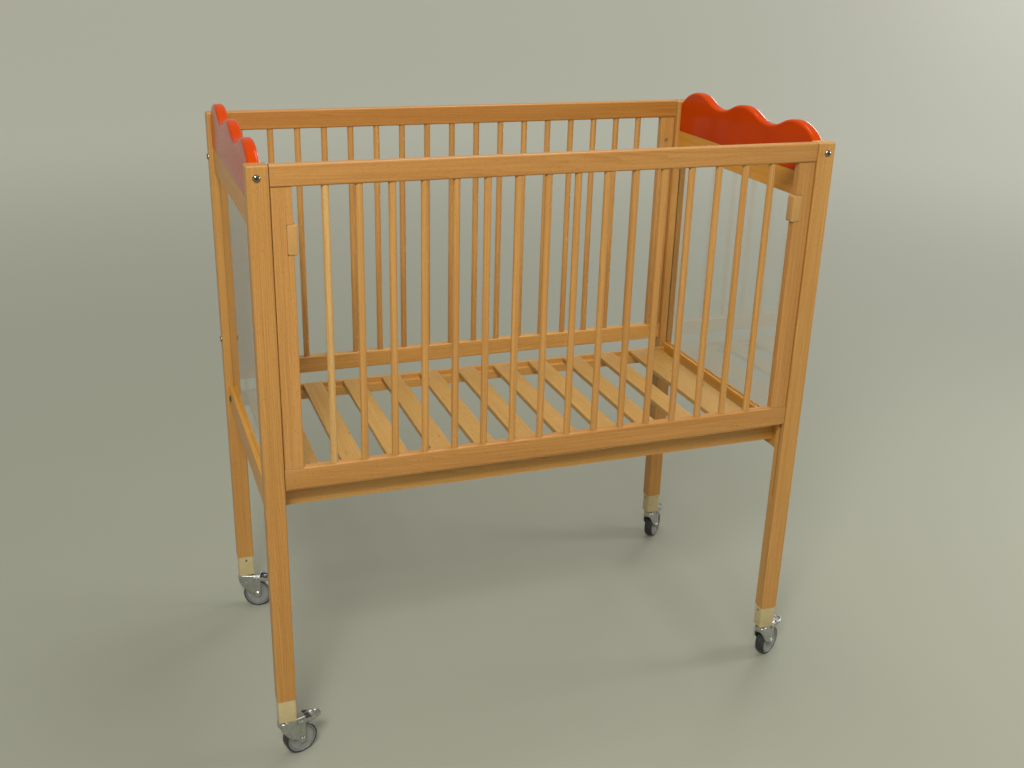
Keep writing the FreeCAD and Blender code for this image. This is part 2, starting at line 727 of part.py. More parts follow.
def make_pedal():
    """A pressed tray that straddles the fork, turning on a cross pin, with its brake shoe."""
    tray = pedal_side(PEDAL_WALL).common(pedal_plan(0))
    hollow = pedal_side(0).common(pedal_plan(PEDAL_WALL))
    fork_room = block(
        (PEDAL_RIM[0][0], PEDAL_FLOOR_X),
        centred(0, 2 * (PEDAL_HALF_WIDTH - PEDAL_WALL)),
        (0, FORK_TOP),
    )
    tray = tray.cut([hollow, fork_room])
    shoe = profile_face(
        [
            local(SHOE_X[0], -SHOE_WIDTH / 2, SHOE_FOOT_Z[0]),
            local(SHOE_X[1], -SHOE_WIDTH / 2, SHOE_FOOT_Z[1]),
            local(SHOE_X[1], -SHOE_WIDTH / 2, SHOE_TOP_Z),
            local(SHOE_X[0], -SHOE_WIDTH / 2, SHOE_TOP_Z),
        ]
    ).extrude(Y_DIR * SHOE_WIDTH)
    pin = across(PEDAL_PIN_RADIUS, PEDAL_PIVOT[0], PEDAL_PIVOT[1], PEDAL_HALF_WIDTH)
    return tray.fuse([shoe, pin])


def make_stem():
    """The fixed half of the swivel: square stem in the sleeve, race cup, kingpin and its
    head."""
    shapes = [
        rod(CUP_RADIUS, local(0, 0, CUP_FOOT), local(0, 0, SLEEVE_FOOT)),
        rod(KINGPIN_RADIUS, local(0, 0, KINGPIN_HEAD_Z[0]), local(0, 0, CUP_FOOT)),
        rod(KINGPIN_HEAD_RADIUS, local(0, 0, KINGPIN_HEAD_Z[0]), local(0, 0, KINGPIN_HEAD_Z[1])),
    ]
    stem = block(centred(0, STEM_SIZE), centred(0, STEM_SIZE), (SLEEVE_FOOT, SPIGOT_FOOT))
    return stem.fuse(shapes)


def at_corner(shape, side_x, side_y, trail_angle):
    place = FreeCAD.Placement(
        FreeCAD.Vector(side_x * POST_CENTRE_X, side_y * POST_CENTRE_Y, 0),
        FreeCAD.Rotation(Z_DIR, trail_angle),
    )
    moved = shape.copy()
    moved.Placement = place
    return moved


fork, axle, wheel, tyre, pedal, stem = (
    make_fork(),
    make_axle(),
    make_wheel(),
    make_tyre(),
    make_pedal(),
    make_stem(),
)
for corner_name, side_x, side_y, trail_angle in CORNERS:
    for node, shape in (("fork", fork), ("axle", axle), ("wheel", wheel), ("tyre", tyre), ("pedal", pedal)):
        save(node + "_" + corner_name, at_corner(shape, side_x, side_y, trail_angle))
save("caster_stems", *[at_corner(stem, side_x, side_y, 0) for _, side_x, side_y, _ in CORNERS])
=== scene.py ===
import math
import random

import bmesh
import bpy
from mathutils import Matrix, Vector


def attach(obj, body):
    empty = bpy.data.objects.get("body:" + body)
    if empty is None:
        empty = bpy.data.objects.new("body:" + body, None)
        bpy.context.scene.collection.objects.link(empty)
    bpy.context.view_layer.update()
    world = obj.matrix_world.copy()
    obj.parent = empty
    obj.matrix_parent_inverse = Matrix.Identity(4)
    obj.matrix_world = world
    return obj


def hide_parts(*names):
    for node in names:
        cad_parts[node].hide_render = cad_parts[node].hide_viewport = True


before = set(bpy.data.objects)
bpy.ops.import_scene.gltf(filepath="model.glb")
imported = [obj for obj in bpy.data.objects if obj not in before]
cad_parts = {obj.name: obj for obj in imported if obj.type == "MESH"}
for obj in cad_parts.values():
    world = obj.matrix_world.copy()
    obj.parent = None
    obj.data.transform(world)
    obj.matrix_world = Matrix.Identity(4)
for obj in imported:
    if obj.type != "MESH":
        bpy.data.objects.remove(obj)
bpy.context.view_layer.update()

# ---- viewpoint, light and floor -----------------------------------------------------------
# The cot is seen from a little above its front left corner, in soft studio light, on a
# plain pale floor that runs out of sight on every side.

CAMERA_PLACE = (-0.88943, -2.43168, 1.73422)
CAMERA_TURN = 0.3593
CAMERA_DIP = 0.3785
CAMERA_LEAN = 0.0280
FOCAL_LENGTH = 40.056
SENSOR_WIDTH = 36.0
SIGHT_LIMIT = 200.0

camera_data = bpy.data.cameras.new("camera")
camera_data.lens = FOCAL_LENGTH
camera_data.sensor_width = SENSOR_WIDTH
camera_data.clip_end = SIGHT_LIMIT
camera = bpy.data.objects.new("camera", camera_data)
camera.matrix_world = (
    Matrix.Translation(CAMERA_PLACE)
    @ Matrix.Rotation(-CAMERA_TURN, 4, "Z")
    @ Matrix.Rotation(math.pi / 2 - CAMERA_DIP, 4, "X")
    @ Matrix.Rotation(CAMERA_LEAN, 4, "Z")
)
bpy.context.scene.collection.objects.link(camera)
bpy.context.scene.camera = camera
bpy.context.scene.view_settings.view_transform = "Standard"

# Each sun: strength, place, target and width in degrees.
SUNS = {
    "key": (0.80, (-1.2, -3.0, 3.5), (0.0, 0.0, 0.6), 25),
    "rear_key": (0.95, (3.0, 2.7, 1.3), (0.0, 0.0, 0.6), 20),
}
# Each softbox: watts, place, target and width in metres.
SOFTBOXES = {
    "front_softbox": (78.0, (-1.3, -2.5, 3.0), (0.0, 0.0, 1.1), 0.9),
    "right_softbox": (34.0, (3.3, -0.7, 1.5), (0.3, 0.0, 0.8), 0.8),
    "top_softbox": (34.0, (0.5, 0.3, 3.4), (0.2, 0.0, 1.0), 1.2),
}
SKY_LIGHT = 0.42
SKY_TINT = (1.0, 0.985, 0.96)
SKY_SEEN = (0.400, 0.404, 0.318)
# Painted light on the floor: its near tone is painted shade round the cot, its far tone painted
# light.
FLOOR_NEAR_SHADED = (0.262, 0.264, 0.200)
FLOOR_FAR_LIT = (0.610, 0.614, 0.500)
FLOOR_FADE = (0.6, 8.5)
FLOOR_CORNERS = ((-1, -1), (1, -1), (1, 1), (-1, 1))
FLOOR_REACH = 60.0
FLOOR_ROUGHNESS = 0.75


def add_lamp(data, place, target):
    """A lamp that shines from a place towards a target."""
    lamp = bpy.data.objects.new(data.name, data)
    lamp.location = place
    aim = Vector(target) - Vector(place)
    lamp.rotation_euler = aim.to_track_quat("-Z", "Y").to_euler()
    bpy.context.scene.collection.objects.link(lamp)


def build_sky():
    """Soft light from all round: a pale tone where it is seen, or seen in gloss and glass."""
    world = bpy.data.worlds.new("studio")
    bpy.context.scene.world = world
    world.use_nodes = True
    tree = world.node_tree
    light = tree.nodes["Background"]
    light.inputs["Color"].default_value = (*SKY_TINT, 1.0)
    light.inputs["Strength"].default_value = SKY_LIGHT
    seen = tree.nodes.new("ShaderNodeBackground")
    seen.inputs["Color"].default_value = (*SKY_SEEN, 1.0)
    path = tree.nodes.new("ShaderNodeLightPath")
    either = path.outputs["Is Camera Ray"]
    for ray in ("Is Glossy Ray", "Is Transmission Ray"):
        either = sums(tree, "MAXIMUM", either, path.outputs[ray])
    mix = tree.nodes.new("ShaderNodeMixShader")
    tree.links.new(either, mix.inputs["Fac"])
    tree.links.new(light.outputs[0], mix.inputs[1])
    tree.links.new(seen.outputs[0], mix.inputs[2])
    tree.links.new(mix.outputs[0], tree.nodes["World Output"].inputs["Surface"])


def new_material(name):
    """An empty material with a Principled shader, and its node tree."""
    material = bpy.data.materials.new(name)
    material.use_nodes = True
    tree = material.node_tree
    return material, tree, tree.nodes["Principled BSDF"]


def feed(tree, value, socket):
    """Give a socket a plain number, a plain colour or another node's output."""
    if isinstance(value, bpy.types.NodeSocket):
        tree.links.new(value, socket)
    elif isinstance(value, tuple) and socket.type == "RGBA":
        socket.default_value = (*value, 1.0)
    else:
        socket.default_value = value


def sums(tree, operation, first, second=0.0):
    """A sum with one or two numbers."""
    node = tree.nodes.new("ShaderNodeMath")
    node.operation = operation
    feed(tree, first, node.inputs[0])
    feed(tree, second, node.inputs[1])
    return node.outputs[0]


def times(tree, first, second):
    """The product of two numbers."""
    return sums(tree, "MULTIPLY", first, second)


def plus(tree, first, second):
    """Two numbers added up."""
    return sums(tree, "ADD", first, second)


def vector_sums(tree, operation, first, second=(0.0, 0.0, 0.0), output="Vector"):
    """A sum with one or two vectors. The second is a number where it scales the first."""
    node = tree.nodes.new("ShaderNodeVectorMath")
    node.operation = operation
    feed(tree, first, node.inputs[0])
    feed(tree, second, node.inputs["Scale" if operation == "SCALE" else 1])
    return node.outputs[output]


def ramp(tree, value, low, high, to_low=0.0, to_high=1.0):
    """Maps low..high of a value smoothly to another range."""
    node = tree.nodes.new("ShaderNodeMapRange")
    node.interpolation_type = "SMOOTHSTEP"
    feed(tree, value, node.inputs["Value"])
    node.inputs["From Min"].default_value = low
    node.inputs["From Max"].default_value = high
    node.inputs["To Min"].default_value = to_low
    node.inputs["To Max"].default_value = to_high
    return node.outputs["Result"]


def tint(tree, amount, first, second):
    """Mixes a second colour into the first, by a value from 0 to 1."""
    node = tree.nodes.new("ShaderNodeMix")
    node.data_type = "RGBA"
    feed(tree, amount, node.inputs["Factor"])
    colours = [socket for socket in node.inputs if socket.type == "RGBA"]
    feed(tree, first, colours[0])
    feed(tree, second, colours[1])
    return [socket for socket in node.outputs if socket.type == "RGBA"][0]


def object_coords(tree):
    """A piece's own coordinates, in metres."""
    return tree.nodes.new("ShaderNodeTexCoord").outputs["Object"]


def make_floor_vinyl():
    """Plain matt vinyl, a little darker near the cot than far away: painted shade round the cot and
    painted light far off.
    """
    material, tree, shader = new_material("floor_vinyl")
    distance = vector_sums(tree, "LENGTH", object_coords(tree), output="Value")
    tone = tint(tree, ramp(tree, distance, *FLOOR_FADE), FLOOR_NEAR_SHADED, FLOOR_FAR_LIT)
    tree.links.new(tone, shader.inputs["Base Color"])
    shader.inputs["Roughness"].default_value = FLOOR_ROUGHNESS
    return material


for name, (strength, place, target, degrees) in SUNS.items():
    sun = bpy.data.lights.new(name, "SUN")
    sun.energy = strength
    sun.angle = math.radians(degrees)
    add_lamp(sun, place, target)
for name, (watts, place, target, width) in SOFTBOXES.items():
    softbox = bpy.data.lights.new(name, "AREA")
    softbox.energy = watts
    softbox.shape = "DISK"
    softbox.size = width
    add_lamp(softbox, place, target)
build_sky()

floor_mesh = bpy.data.meshes.new("floor")
floor_points = [(x * FLOOR_REACH, y * FLOOR_REACH, 0.0) for x, y in FLOOR_CORNERS]
floor_mesh.from_pydata(floor_points, [], [(0, 1, 2, 3)])
floor_mesh.materials.append(make_floor_vinyl())
floor_object = bpy.data.objects.new("floor", floor_mesh)
bpy.context.scene.collection.objects.link(floor_object)

# ---- posts --------------------------------------------------------------------------------
# Four beech posts, varnished a warm honey tone, with rounded corners and eased tops. The
# front pair carry a groove for the drop side's studs on their inner faces.

# Each corner: its sides along X and Y, and the angle at which its caster trails.
CORNERS = (
    ("front_left", -1, -1, 17.0),
    ("front_right", 1, -1, 29.0),
    ("rear_left", -1, 1, -16.0),
    ("rear_right", 1, 1, 42.0),
)
POST_X, POST_Y = 609.2, 324.1
BEECH_LIGHT = (0.570, 0.306, 0.082)
BEECH_DARK = (0.325, 0.138, 0.024)
BEECH_FLECK = (0.170, 0.066, 0.012)
PALE_BEECH = (0.660, 0.450, 0.170)

# The way through the growth rings, for wood that runs along each axis.
RING_WAY = {"X": (0.012, 0.88, 0.47), "Y": (0.47, 0.012, 0.88), "Z": (0.88, 0.47, 0.012)}
RINGS_PER_METRE = 290.0
LATE_WOOD = (0.30, 0.97)
# How the rings wander widely and waver finely: marks per metre across and along the grain
# and their fineness, then the reach in metres.
WANDER, WANDER_REACH = (8.0, 1.0, 1.0), 0.046
WAVER, WAVER_REACH = (48.0, 3.2, 2.0), 0.010
# The same three numbers for each kind of mark, and the two values of the noise between
# which it comes up.
WOOD_MARKS = {
    "streaks": (190.0, 2.6, 3.0, 0.33, 0.70),
    "fibre": (900.0, 16.0, 2.0, 0.30, 0.72),
    "flecks": (1300.0, 190.0, 1.0, 0.62, 0.72),
    "clouds": (13.0, 1.0, 2.0, 0.28, 0.74),
    "fading": (21.0, 1.7, 1.0, 0.30, 0.68),
    "dashes": (300.0, 30.0, 2.0, 0.65, 0.73),
}
FADED_RINGS = 0.25
STICK_SHIFT = (3.7, 5.3, 4.1)
PALE_STICKS = (-0.6, 0.0)
PALE_SHARE = 0.85
END_GRAIN = (0.62, 0.9)
KNOTS_PER_METRE = (14.0, 5.0, 0.0)
KNOT_RARITY = 0.62
KNOT_SWIRL = (0.05, 0.42)
KNOT_SPOT = (0.035, 0.095)
KNOT_PUSH = 0.012
# How much of its dark tone each layer lays over the wood.
STREAK_SHARE = 0.42
CLOUD_SHARE = 0.34
STICK_SHARE = 0.34
FIBRE_SHARE = 0.26
FLECK_SHARE = 0.60
END_SHARE = 0.38
DASH_SHARE = 0.70
KNOT_SHARE = 0.85
WOOD_ROUGHNESS = 0.36
FIBRE_DULLING = 0.12
END_DULLING = 0.2
WOOD_GLOSS = 0.38
VARNISH_ROUGHNESS = 0.16
FLECK_HEIGHT = -0.8
GRAIN_BUMP = (0.35, 0.00012)


def noise(tree, coords, scale, detail=2.0, roughness=0.6):
    """Noise with its own number of marks per metre along each axis."""
    mapping = tree.nodes.new("ShaderNodeMapping")
    mapping.inputs["Scale"].default_value = scale
    tree.links.new(coords, mapping.inputs["Vector"])
    node = tree.nodes.new("ShaderNodeTexNoise")
    node.inputs["Scale"].default_value = 1.0
    node.inputs["Detail"].default_value = detail
    node.inputs["Roughness"].default_value = roughness
    tree.links.new(mapping.outputs["Vector"], node.inputs["Vector"])
    return node.outputs["Fac"]


def add_bump(tree, shader, height, strength, depth):
    """Raise a surface by a height from 0 to 1, to a depth in metres."""
    bump = tree.nodes.new("ShaderNodeBump")
    bump.inputs["Strength"].default_value = strength
    bump.inputs["Distance"].default_value = depth
    tree.links.new(height, bump.inputs["Height"])
    tree.links.new(bump.outputs["Normal"], shader.inputs["Normal"])


def stick_coords(tree, sticks):
    """Coordinates shifted by a different amount in each stick of wood, and the stick's
    number. A piece of many sticks carries each one's number in its mesh."""
    if sticks:
        own = tree.nodes.new("ShaderNodeAttribute")
        own.attribute_name = "stick"
        number = own.outputs["Fac"]
    else:
        number = tree.nodes.new("ShaderNodeObjectInfo").outputs["Random"]
    shift = vector_sums(tree, "SCALE", STICK_SHIFT, number)
    return vector_sums(tree, "ADD", object_coords(tree), shift), number


def place_knots(tree, coords):
    """A few knots far apart: how near one is, and the dark spot at its middle."""
    mapping = tree.nodes.new("ShaderNodeMapping")
    mapping.inputs["Scale"].default_value = KNOTS_PER_METRE
    tree.links.new(coords, mapping.inputs["Vector"])
    spots = tree.nodes.new("ShaderNodeTexVoronoi")
    spots.inputs["Scale"].default_value = 1.0
    tree.links.new(mapping.outputs["Vector"], spots.inputs["Vector"])
    rarity = tree.nodes.new("ShaderNodeSeparateColor")
    tree.links.new(spots.outputs["Color"], rarity.inputs["Color"])
    chosen = sums(tree, "GREATER_THAN", rarity.outputs["Red"], KNOT_RARITY)
    distance = spots.outputs["Distance"]
    near = times(tree, ramp(tree, distance, *KNOT_SWIRL, 1.0, 0.0), chosen)
    spot = times(tree, ramp(tree, distance, *KNOT_SPOT, 1.0, 0.0), chosen)
    return near, spot


def end_grain_share(tree, axis):
    """How far a face looks along the grain, as the end of a stick does."""
    faces = tree.nodes.new("ShaderNodeSeparateXYZ")
    normal = tree.nodes.new("ShaderNodeTexCoord").outputs["Normal"]
    tree.links.new(normal, faces.inputs[0])
    return ramp(tree, sums(tree, "ABSOLUTE", faces.outputs[axis]), *END_GRAIN)


def make_wood(name, along, light, dark, fleck=BEECH_FLECK, ring_depth=0.55,
              sticks=False, knots=False, varnish=0.12):
    """Varnished wood with its grain along one axis: growth rings that wander, streaks and
    fine fibre, short dark ray flecks, darker end grain, and a tone of its own per stick."""
    material, tree, shader = new_material(name)
    coords, number = stick_coords(tree, sticks)
    axis = "XYZ".index(along)

    def grain(across, run, detail):
        scale = [across] * 3
        scale[axis] = run
        return noise(tree, coords, scale, detail)

    def mark(kind, least=0.0):
        across, run, detail, low, high = WOOD_MARKS[kind]
        return ramp(tree, grain(across, run, detail), low, high, least)

    wander = times(tree, grain(*WANDER), WANDER_REACH)
    waver = times(tree, grain(*WAVER), WAVER_REACH)
    depth = vector_sums(tree, "DOT_PRODUCT", coords, RING_WAY[along], "Value")
    rings = plus(tree, depth, plus(tree, wander, waver))
    if knots:
        near_knot, knot = place_knots(tree, coords)
        rings = plus(tree, rings, times(tree, near_knot, KNOT_PUSH))
    one_ring = sums(tree, "FRACT", times(tree, rings, RINGS_PER_METRE))
    shown_rings = times(tree, ramp(tree, one_ring, *LATE_WOOD), mark("fading", FADED_RINGS))
    pale = ramp(tree, number, *PALE_STICKS, PALE_SHARE, 0.0)
    fibre, flecks, end_grain = mark("fibre"), mark("flecks"), end_grain_share(tree, axis)

    colour = tint(tree, pale, light, PALE_BEECH)
    layers = [
        (shown_rings, ring_depth, dark),
        (mark("streaks"), STREAK_SHARE, dark),
        (mark("clouds"), CLOUD_SHARE, dark),
        (ramp(tree, number, 0.0, 1.0), STICK_SHARE, dark),
        (fibre, FIBRE_SHARE, dark),
        (flecks, FLECK_SHARE, fleck),
        (end_grain, END_SHARE, fleck),
    ]
    if knots:
        layers += [(mark("dashes"), DASH_SHARE, fleck), (knot, KNOT_SHARE, fleck)]
    for layer, weight, tone in layers:
        colour = tint(tree, times(tree, layer, weight), colour, tone)
    tree.links.new(colour, shader.inputs["Base Color"])

    dulling = plus(tree, times(tree, fibre, FIBRE_DULLING), times(tree, end_grain, END_DULLING))
    tree.links.new(plus(tree, dulling, WOOD_ROUGHNESS), shader.inputs["Roughness"])
    shader.inputs["Specular IOR Level"].default_value = WOOD_GLOSS
    shader.inputs["Coat Weight"].default_value = varnish
    shader.inputs["Coat Roughness"].default_value = VARNISH_ROUGHNESS
    add_bump(tree, shader, plus(tree, fibre, times(tree, flecks, FLECK_HEIGHT)), *GRAIN_BUMP)
    return material


def dress(node, material):
    """Give a carried-over part its finish."""
    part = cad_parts[node]
    part.data.materials.clear()
    part.data.materials.append(material)


upright_beech = make_wood("upright_beech", "Z", BEECH_LIGHT, BEECH_DARK)
for corner, _, _, _ in CORNERS:
    dress("post_" + corner, upright_beech)

# ---- foot sleeves -------------------------------------------------------------------------
# A cream-coated metal socket fits over the reduced foot of each post and takes the caster's
# stem. A small cross-head screw near its top holds it on.

SLEEVE_SIZE = (39.5, 33.0)
SLEEVE_Z = (97.6, 155.0)
SLEEVE_CORNER = 5.0
SLEEVE_EASE = 0.9
SCREW_Z = 143.0
SCREW_PROFILE = ((3.2, -0.4), (3.2, 0.25), (2.9, 0.75), (2.1, 1.1), (1.0, 1.2))
SCREW_STEPS = 32
# Each arm of the cross: its width and depth, then its length, corner and ease.
CROSS_ARM = (3.4, 0.62)
CROSS_CUT = (2.0, 0.25, 0.05)
CROSS_FLOOR = 0.35
CORNER_STEPS = 6
EASE_STEPS = 3
SMALLEST_CORNER = 0.3
MILLIMETRE = 0.001
SHARP_ANGLE = math.radians(38)
CREAM = (0.455, 0.365, 0.175)
CREAM_WORN = (0.27, 0.205, 0.095)
CREAM_ROUGHNESS = 0.36
CREAM_GLAZE, CREAM_GLAZE_ROUGHNESS = 0.15, 0.12
BRIGHT, BRIGHT_SHADE = (0.34, 0.305, 0.240), (0.16, 0.138, 0.105)
BLACKENED_AND_SOCKET_SHADE, BLACKENED_SHADE = (0.10, 0.095, 0.09), (0.045, 0.042, 0.04)
ZINC, ZINC_SHADE = (0.54, 0.545, 0.525), (0.36, 0.362, 0.35)
# Each kind of mark: how many per metre along each axis, the two values of the noise
# between which it comes up, and the noise's detail and roughness. A share says how much of
# its tone a mark lays on, and a bump is its strength and its depth in metres.
CREAM_CLOUDS = ((16.0, 16.0, 24.0), 0.35, 0.70, 2.0, 0.6)
CREAM_CLOUD_SHARE = 0.30
CREAM_SCUFFS = ((70.0, 70.0, 150.0), 0.56, 0.70, 4.0, 0.7)
CREAM_SCUFF_SHARE, CREAM_SCUFF_DULLING = 0.45, 0.2
ORANGE_PEEL, ORANGE_PEEL_BUMP = (600.0, 600.0, 600.0), (0.10, 0.0002)
METAL_PATCHES = ((85.0, 85.0, 85.0), 0.34, 0.68, 3.0, 0.6)
METAL_PATCH_SHARE = 0.5
BOLT_MARKS = ((260.0, 260.0, 260.0), 0.45, 0.72, 3.0, 0.7)
SHEET_MARKS = ((170.0, 170.0, 170.0), 0.45, 0.72, 3.0, 0.7)
METAL_MARK_SHARE = 0.35
METAL_BUMP = (0.12, 0.00015)


def marks(tree, coords, scale, low, high, detail, roughness, shown=(0.0, 1.0)):
    """Patches or marks: noise that comes up between two of its values."""
    return ramp(tree, noise(tree, coords, scale, detail, roughness), low, high, *shown)


def skin(build, rings, loop=False):
    """A skin over rings of points, each with the same number. Its ends get faces too,
    unless it closes on itself."""
    rows = [[build.verts.new(point) for point in ring] for ring in rings]
    pairs = list(zip(rows, rows[1:]))
    if loop:
        pairs.append((rows[-1], rows[0]))
    for row, following in pairs:
        for number, corner in enumerate(row):
            other = (number + 1) % len(row)
            build.faces.new((corner, row[other], following[other], following[number]))
    if not loop:
        build.faces.new(rows[0][::-1])
        build.faces.new(rows[-1])


def rounded_section(wide, deep, corner):
    """A ring of points round a rectangle with rounded corners."""
    points = []
    for number, (side_u, side_v) in enumerate(((1, 1), (-1, 1), (-1, -1), (1, -1))):
        for step in range(CORNER_STEPS + 1):
            angle = math.radians(90 * (number + step / CORNER_STEPS))
            u = side_u * (wide / 2 - corner) + corner * math.cos(angle)
            v = side_v * (deep / 2 - corner) + corner * math.sin(angle)
            points.append((u, v))
    return points


def eased_bar(build, place, wide, deep, length, corner, ease):
    """A bar along its own Z, with rounded long corners and its ends eased."""
    rings = []
    for end in (0, 1):
        for step in range(EASE_STEPS + 1):
            angle = math.pi / 2 * (step if end == 0 else EASE_STEPS - step) / EASE_STEPS
            inset = ease * (1 - math.sin(angle))
            height = ease * (1 - math.cos(angle))
            kept_corner = max(corner - inset, SMALLEST_CORNER)
            section = rounded_section(wide - 2 * inset, deep - 2 * inset, kept_corner)
            z = height if end == 0 else length - height
            rings.append([place @ Vector((u, v, z)) for u, v in section])
    skin(build, rings)


def turned(build, place, profile, steps=40, loop=False):
    """A turned part from (radius, height) pairs. A third number of 6 makes that ring a
    hexagon."""
    rings = []
    for radius, height, *sides in profile:
        ring = []
        for step in range(steps):
            angle = 2 * math.pi * step / steps
            reach = radius
            if sides:
                from_flat = angle % (math.pi / 3) - math.pi / 6
                reach = radius * math.cos(math.pi / 6) / math.cos(from_flat)
            ring.append(place @ Vector((reach * math.cos(angle), reach * math.sin(angle), height)))
        rings.append(ring)
    skin(build, rings, loop)


def facing(seat, direction):
    """The place of a fitting whose own Z points along a direction."""
    turn = Vector(direction).to_track_quat("Z", "Y").to_matrix().to_4x4()
    return Matrix.Translation(seat) @ turn


def mesh_in_metres(name, build):
    """A mesh from millimetre work, with its faces turned outwards."""
    bmesh.ops.recalc_face_normals(build, faces=build.faces)
    mesh = bpy.data.meshes.new(name)
    build.to_mesh(mesh)
    build.free()
    mesh.transform(Matrix.Scale(MILLIMETRE, 4))
    return mesh


def smooth(mesh):
    """Smooth shading, with the edges left sharp."""
    mesh.shade_smooth()
    mesh.set_sharp_from_angle(angle=SHARP_ANGLE)


def make_piece(name, build, material, slot, body, *nodes):
    """Turn millimetre work into a piece that rides on a body and stands for CAD nodes."""
    mesh = mesh_in_metres(name, build)
    mesh.materials.append(material)
    smooth(mesh)
    piece = bpy.data.objects.new(name, mesh)
    bpy.context.scene.collection.objects.link(piece)
    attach(piece, body)
    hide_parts(*nodes)
    return piece


def cut_away(piece, cutter_build):
    """Cut another shape out of a piece, as a mill or a punch would."""
    cutter = bpy.data.objects.new("cutter", mesh_in_metres("cutter", cutter_build))
    bpy.context.scene.collection.objects.link(cutter)
    cut = piece.modifiers.new("cut", "BOOLEAN")
    cut.operation = "DIFFERENCE"
    cut.solver = "EXACT"
    cut.use_self = True
    cut.object = cutter
    bpy.context.view_layer.update()
    depsgraph = bpy.context.evaluated_depsgraph_get()
    left = bpy.data.meshes.new_from_object(piece.evaluated_get(depsgraph))
    piece.modifiers.clear()
    piece.data = left
    bpy.data.objects.remove(cutter)
    smooth(piece.data)


def make_cream_coating():
    """A satin coating with a faint orange peel, and darker scuffs and grime in patches."""
    material, tree, shader = new_material("cream_coating")
    coords = object_coords(tree)
    clouds = marks(tree, coords, *CREAM_CLOUDS)
    scuffs = marks(tree, coords, *CREAM_SCUFFS)
    tone = tint(tree, times(tree, clouds, CREAM_CLOUD_SHARE), CREAM, CREAM_WORN)
    tone = tint(tree, times(tree, scuffs, CREAM_SCUFF_SHARE), tone, CREAM_WORN)
    tree.links.new(tone, shader.inputs["Base Color"])
    dulling = times(tree, scuffs, CREAM_SCUFF_DULLING)
    tree.links.new(plus(tree, dulling, CREAM_ROUGHNESS), shader.inputs["Roughness"])
    shader.inputs["Coat Weight"].default_value = CREAM_GLAZE
    shader.inputs["Coat Roughness"].default_value = CREAM_GLAZE_ROUGHNESS
    add_bump(tree, shader, noise(tree, coords, ORANGE_PEEL, 1.0), *ORANGE_PEEL_BUMP)
    return material


def make_metal(name, colour, shade, roughness, spread, handling_marks=BOLT_MARKS):
    """Metal whose tone and polish change a little in patches, with fine handling marks."""
    material, tree, shader = new_material(name)
    coords = object_coords(tree)
    patches = marks(tree, coords, *METAL_PATCHES)
    handling = marks(tree, coords, *handling_marks)
    tone = tint(tree, times(tree, patches, METAL_PATCH_SHARE), colour, shade)
    tone = tint(tree, times(tree, handling, METAL_MARK_SHARE), tone, shade)
    tree.links.new(tone, shader.inputs["Base Color"])
    shader.inputs["Metallic"].default_value = 1.0
    wear = times(tree, plus(tree, patches, handling), spread / 2)
    tree.links.new(plus(tree, wear, roughness), shader.inputs["Roughness"])
    add_bump(tree, shader, handling, *METAL_BUMP)
    return material


cream_coating = make_cream_coating()
chrome = make_metal("polished_bolt", BRIGHT, BRIGHT_SHADE, roughness=0.08, spread=0.12)
# Blackened metal is the base bolts' own finish; in the bright bolts' sockets it is painted shade.
blackened_metal_and_socket_shade = make_metal("blackened_bolt", BLACKENED_AND_SOCKET_SHADE, BLACKENED_SHADE, roughness=0.28, spread=0.22)
zinc = make_metal("zinc_plate", ZINC, ZINC_SHADE, roughness=0.26, spread=0.16,
                  handling_marks=SHEET_MARKS)

sleeves = bmesh.new()
screws = bmesh.new()
screw_crosses = bmesh.new()
for corner, side_x, side_y, _ in CORNERS:
    place = Matrix.Translation((side_x * POST_X, side_y * POST_Y, SLEEVE_Z[0]))
    sleeve_length = SLEEVE_Z[1] - SLEEVE_Z[0]
    eased_bar(sleeves, place, *SLEEVE_SIZE, sleeve_length, SLEEVE_CORNER, SLEEVE_EASE)
    if corner == "rear_left":
        seat = (side_x * POST_X, side_y * POST_Y - SLEEVE_SIZE[1] / 2, SCREW_Z)
        place = facing(seat, (0, -1, 0))
    else:
        seat = (side_x * (POST_X - SLEEVE_SIZE[0] / 2), side_y * POST_Y, SCREW_Z)
        place = facing(seat, (-side_x, 0, 0))
    turned(screws, place, SCREW_PROFILE, SCREW_STEPS)
    cross_place = place @ Matrix.Translation((0, 0, CROSS_FLOOR))
    for wide, deep in (CROSS_ARM, CROSS_ARM[::-1]):
        eased_bar(screw_crosses, cross_place, wide, deep, *CROSS_CUT)
make_piece("sleeves", sleeves, cream_coating, "cream_sleeve", "frame", "foot_sleeves")
sleeve_screws = make_piece("screws", screws, chrome, "bright_bolt", "frame", "sleeve_screws")
cut_away(sleeve_screws, screw_crosses)

# ---- ends ---------------------------------------------------------------------------------
# Each end has a beech rail below and above a sheet of clear acrylic that sits in grooves.
# Over them, between the posts' tops, stands a lacquered board whose top edge is a wave of
# three humps.

ENDS = (("left", -1), ("right", 1))
POST_IN_Y = 306.5
POST_OUT_X, POST_OUT_Y = 630.1, 341.7
CREST_THICK = 24.0
CREST_FOOT_Z = 1250.0
CREST_HUMP = (224.0, 1358.0)
CREST_VALLEY_Z = 1333.0
CREST_END_Z = 1324.0
CREST_ROUND = 7.0
CREST_ROUND_STEPS = 6
CREST_POINT_GAP = 5.0
CREST_SLOPE_RUN = 1.0
END_BOLT_X, END_BOLT_Z = 611.0, 1304.0
DOME_PROFILE = (
    (7.5, -0.4), (7.5, 0.45), (7.3, 0.85), (6.9, 1.6), (6.1, 2.5), (5.1, 3.15), (4.2, 3.6),
    (3.4, 3.8), (3.2, 3.7, 6), (3.05, 3.4, 6), (3.05, 0.5, 6), (1.2, 0.3),
)
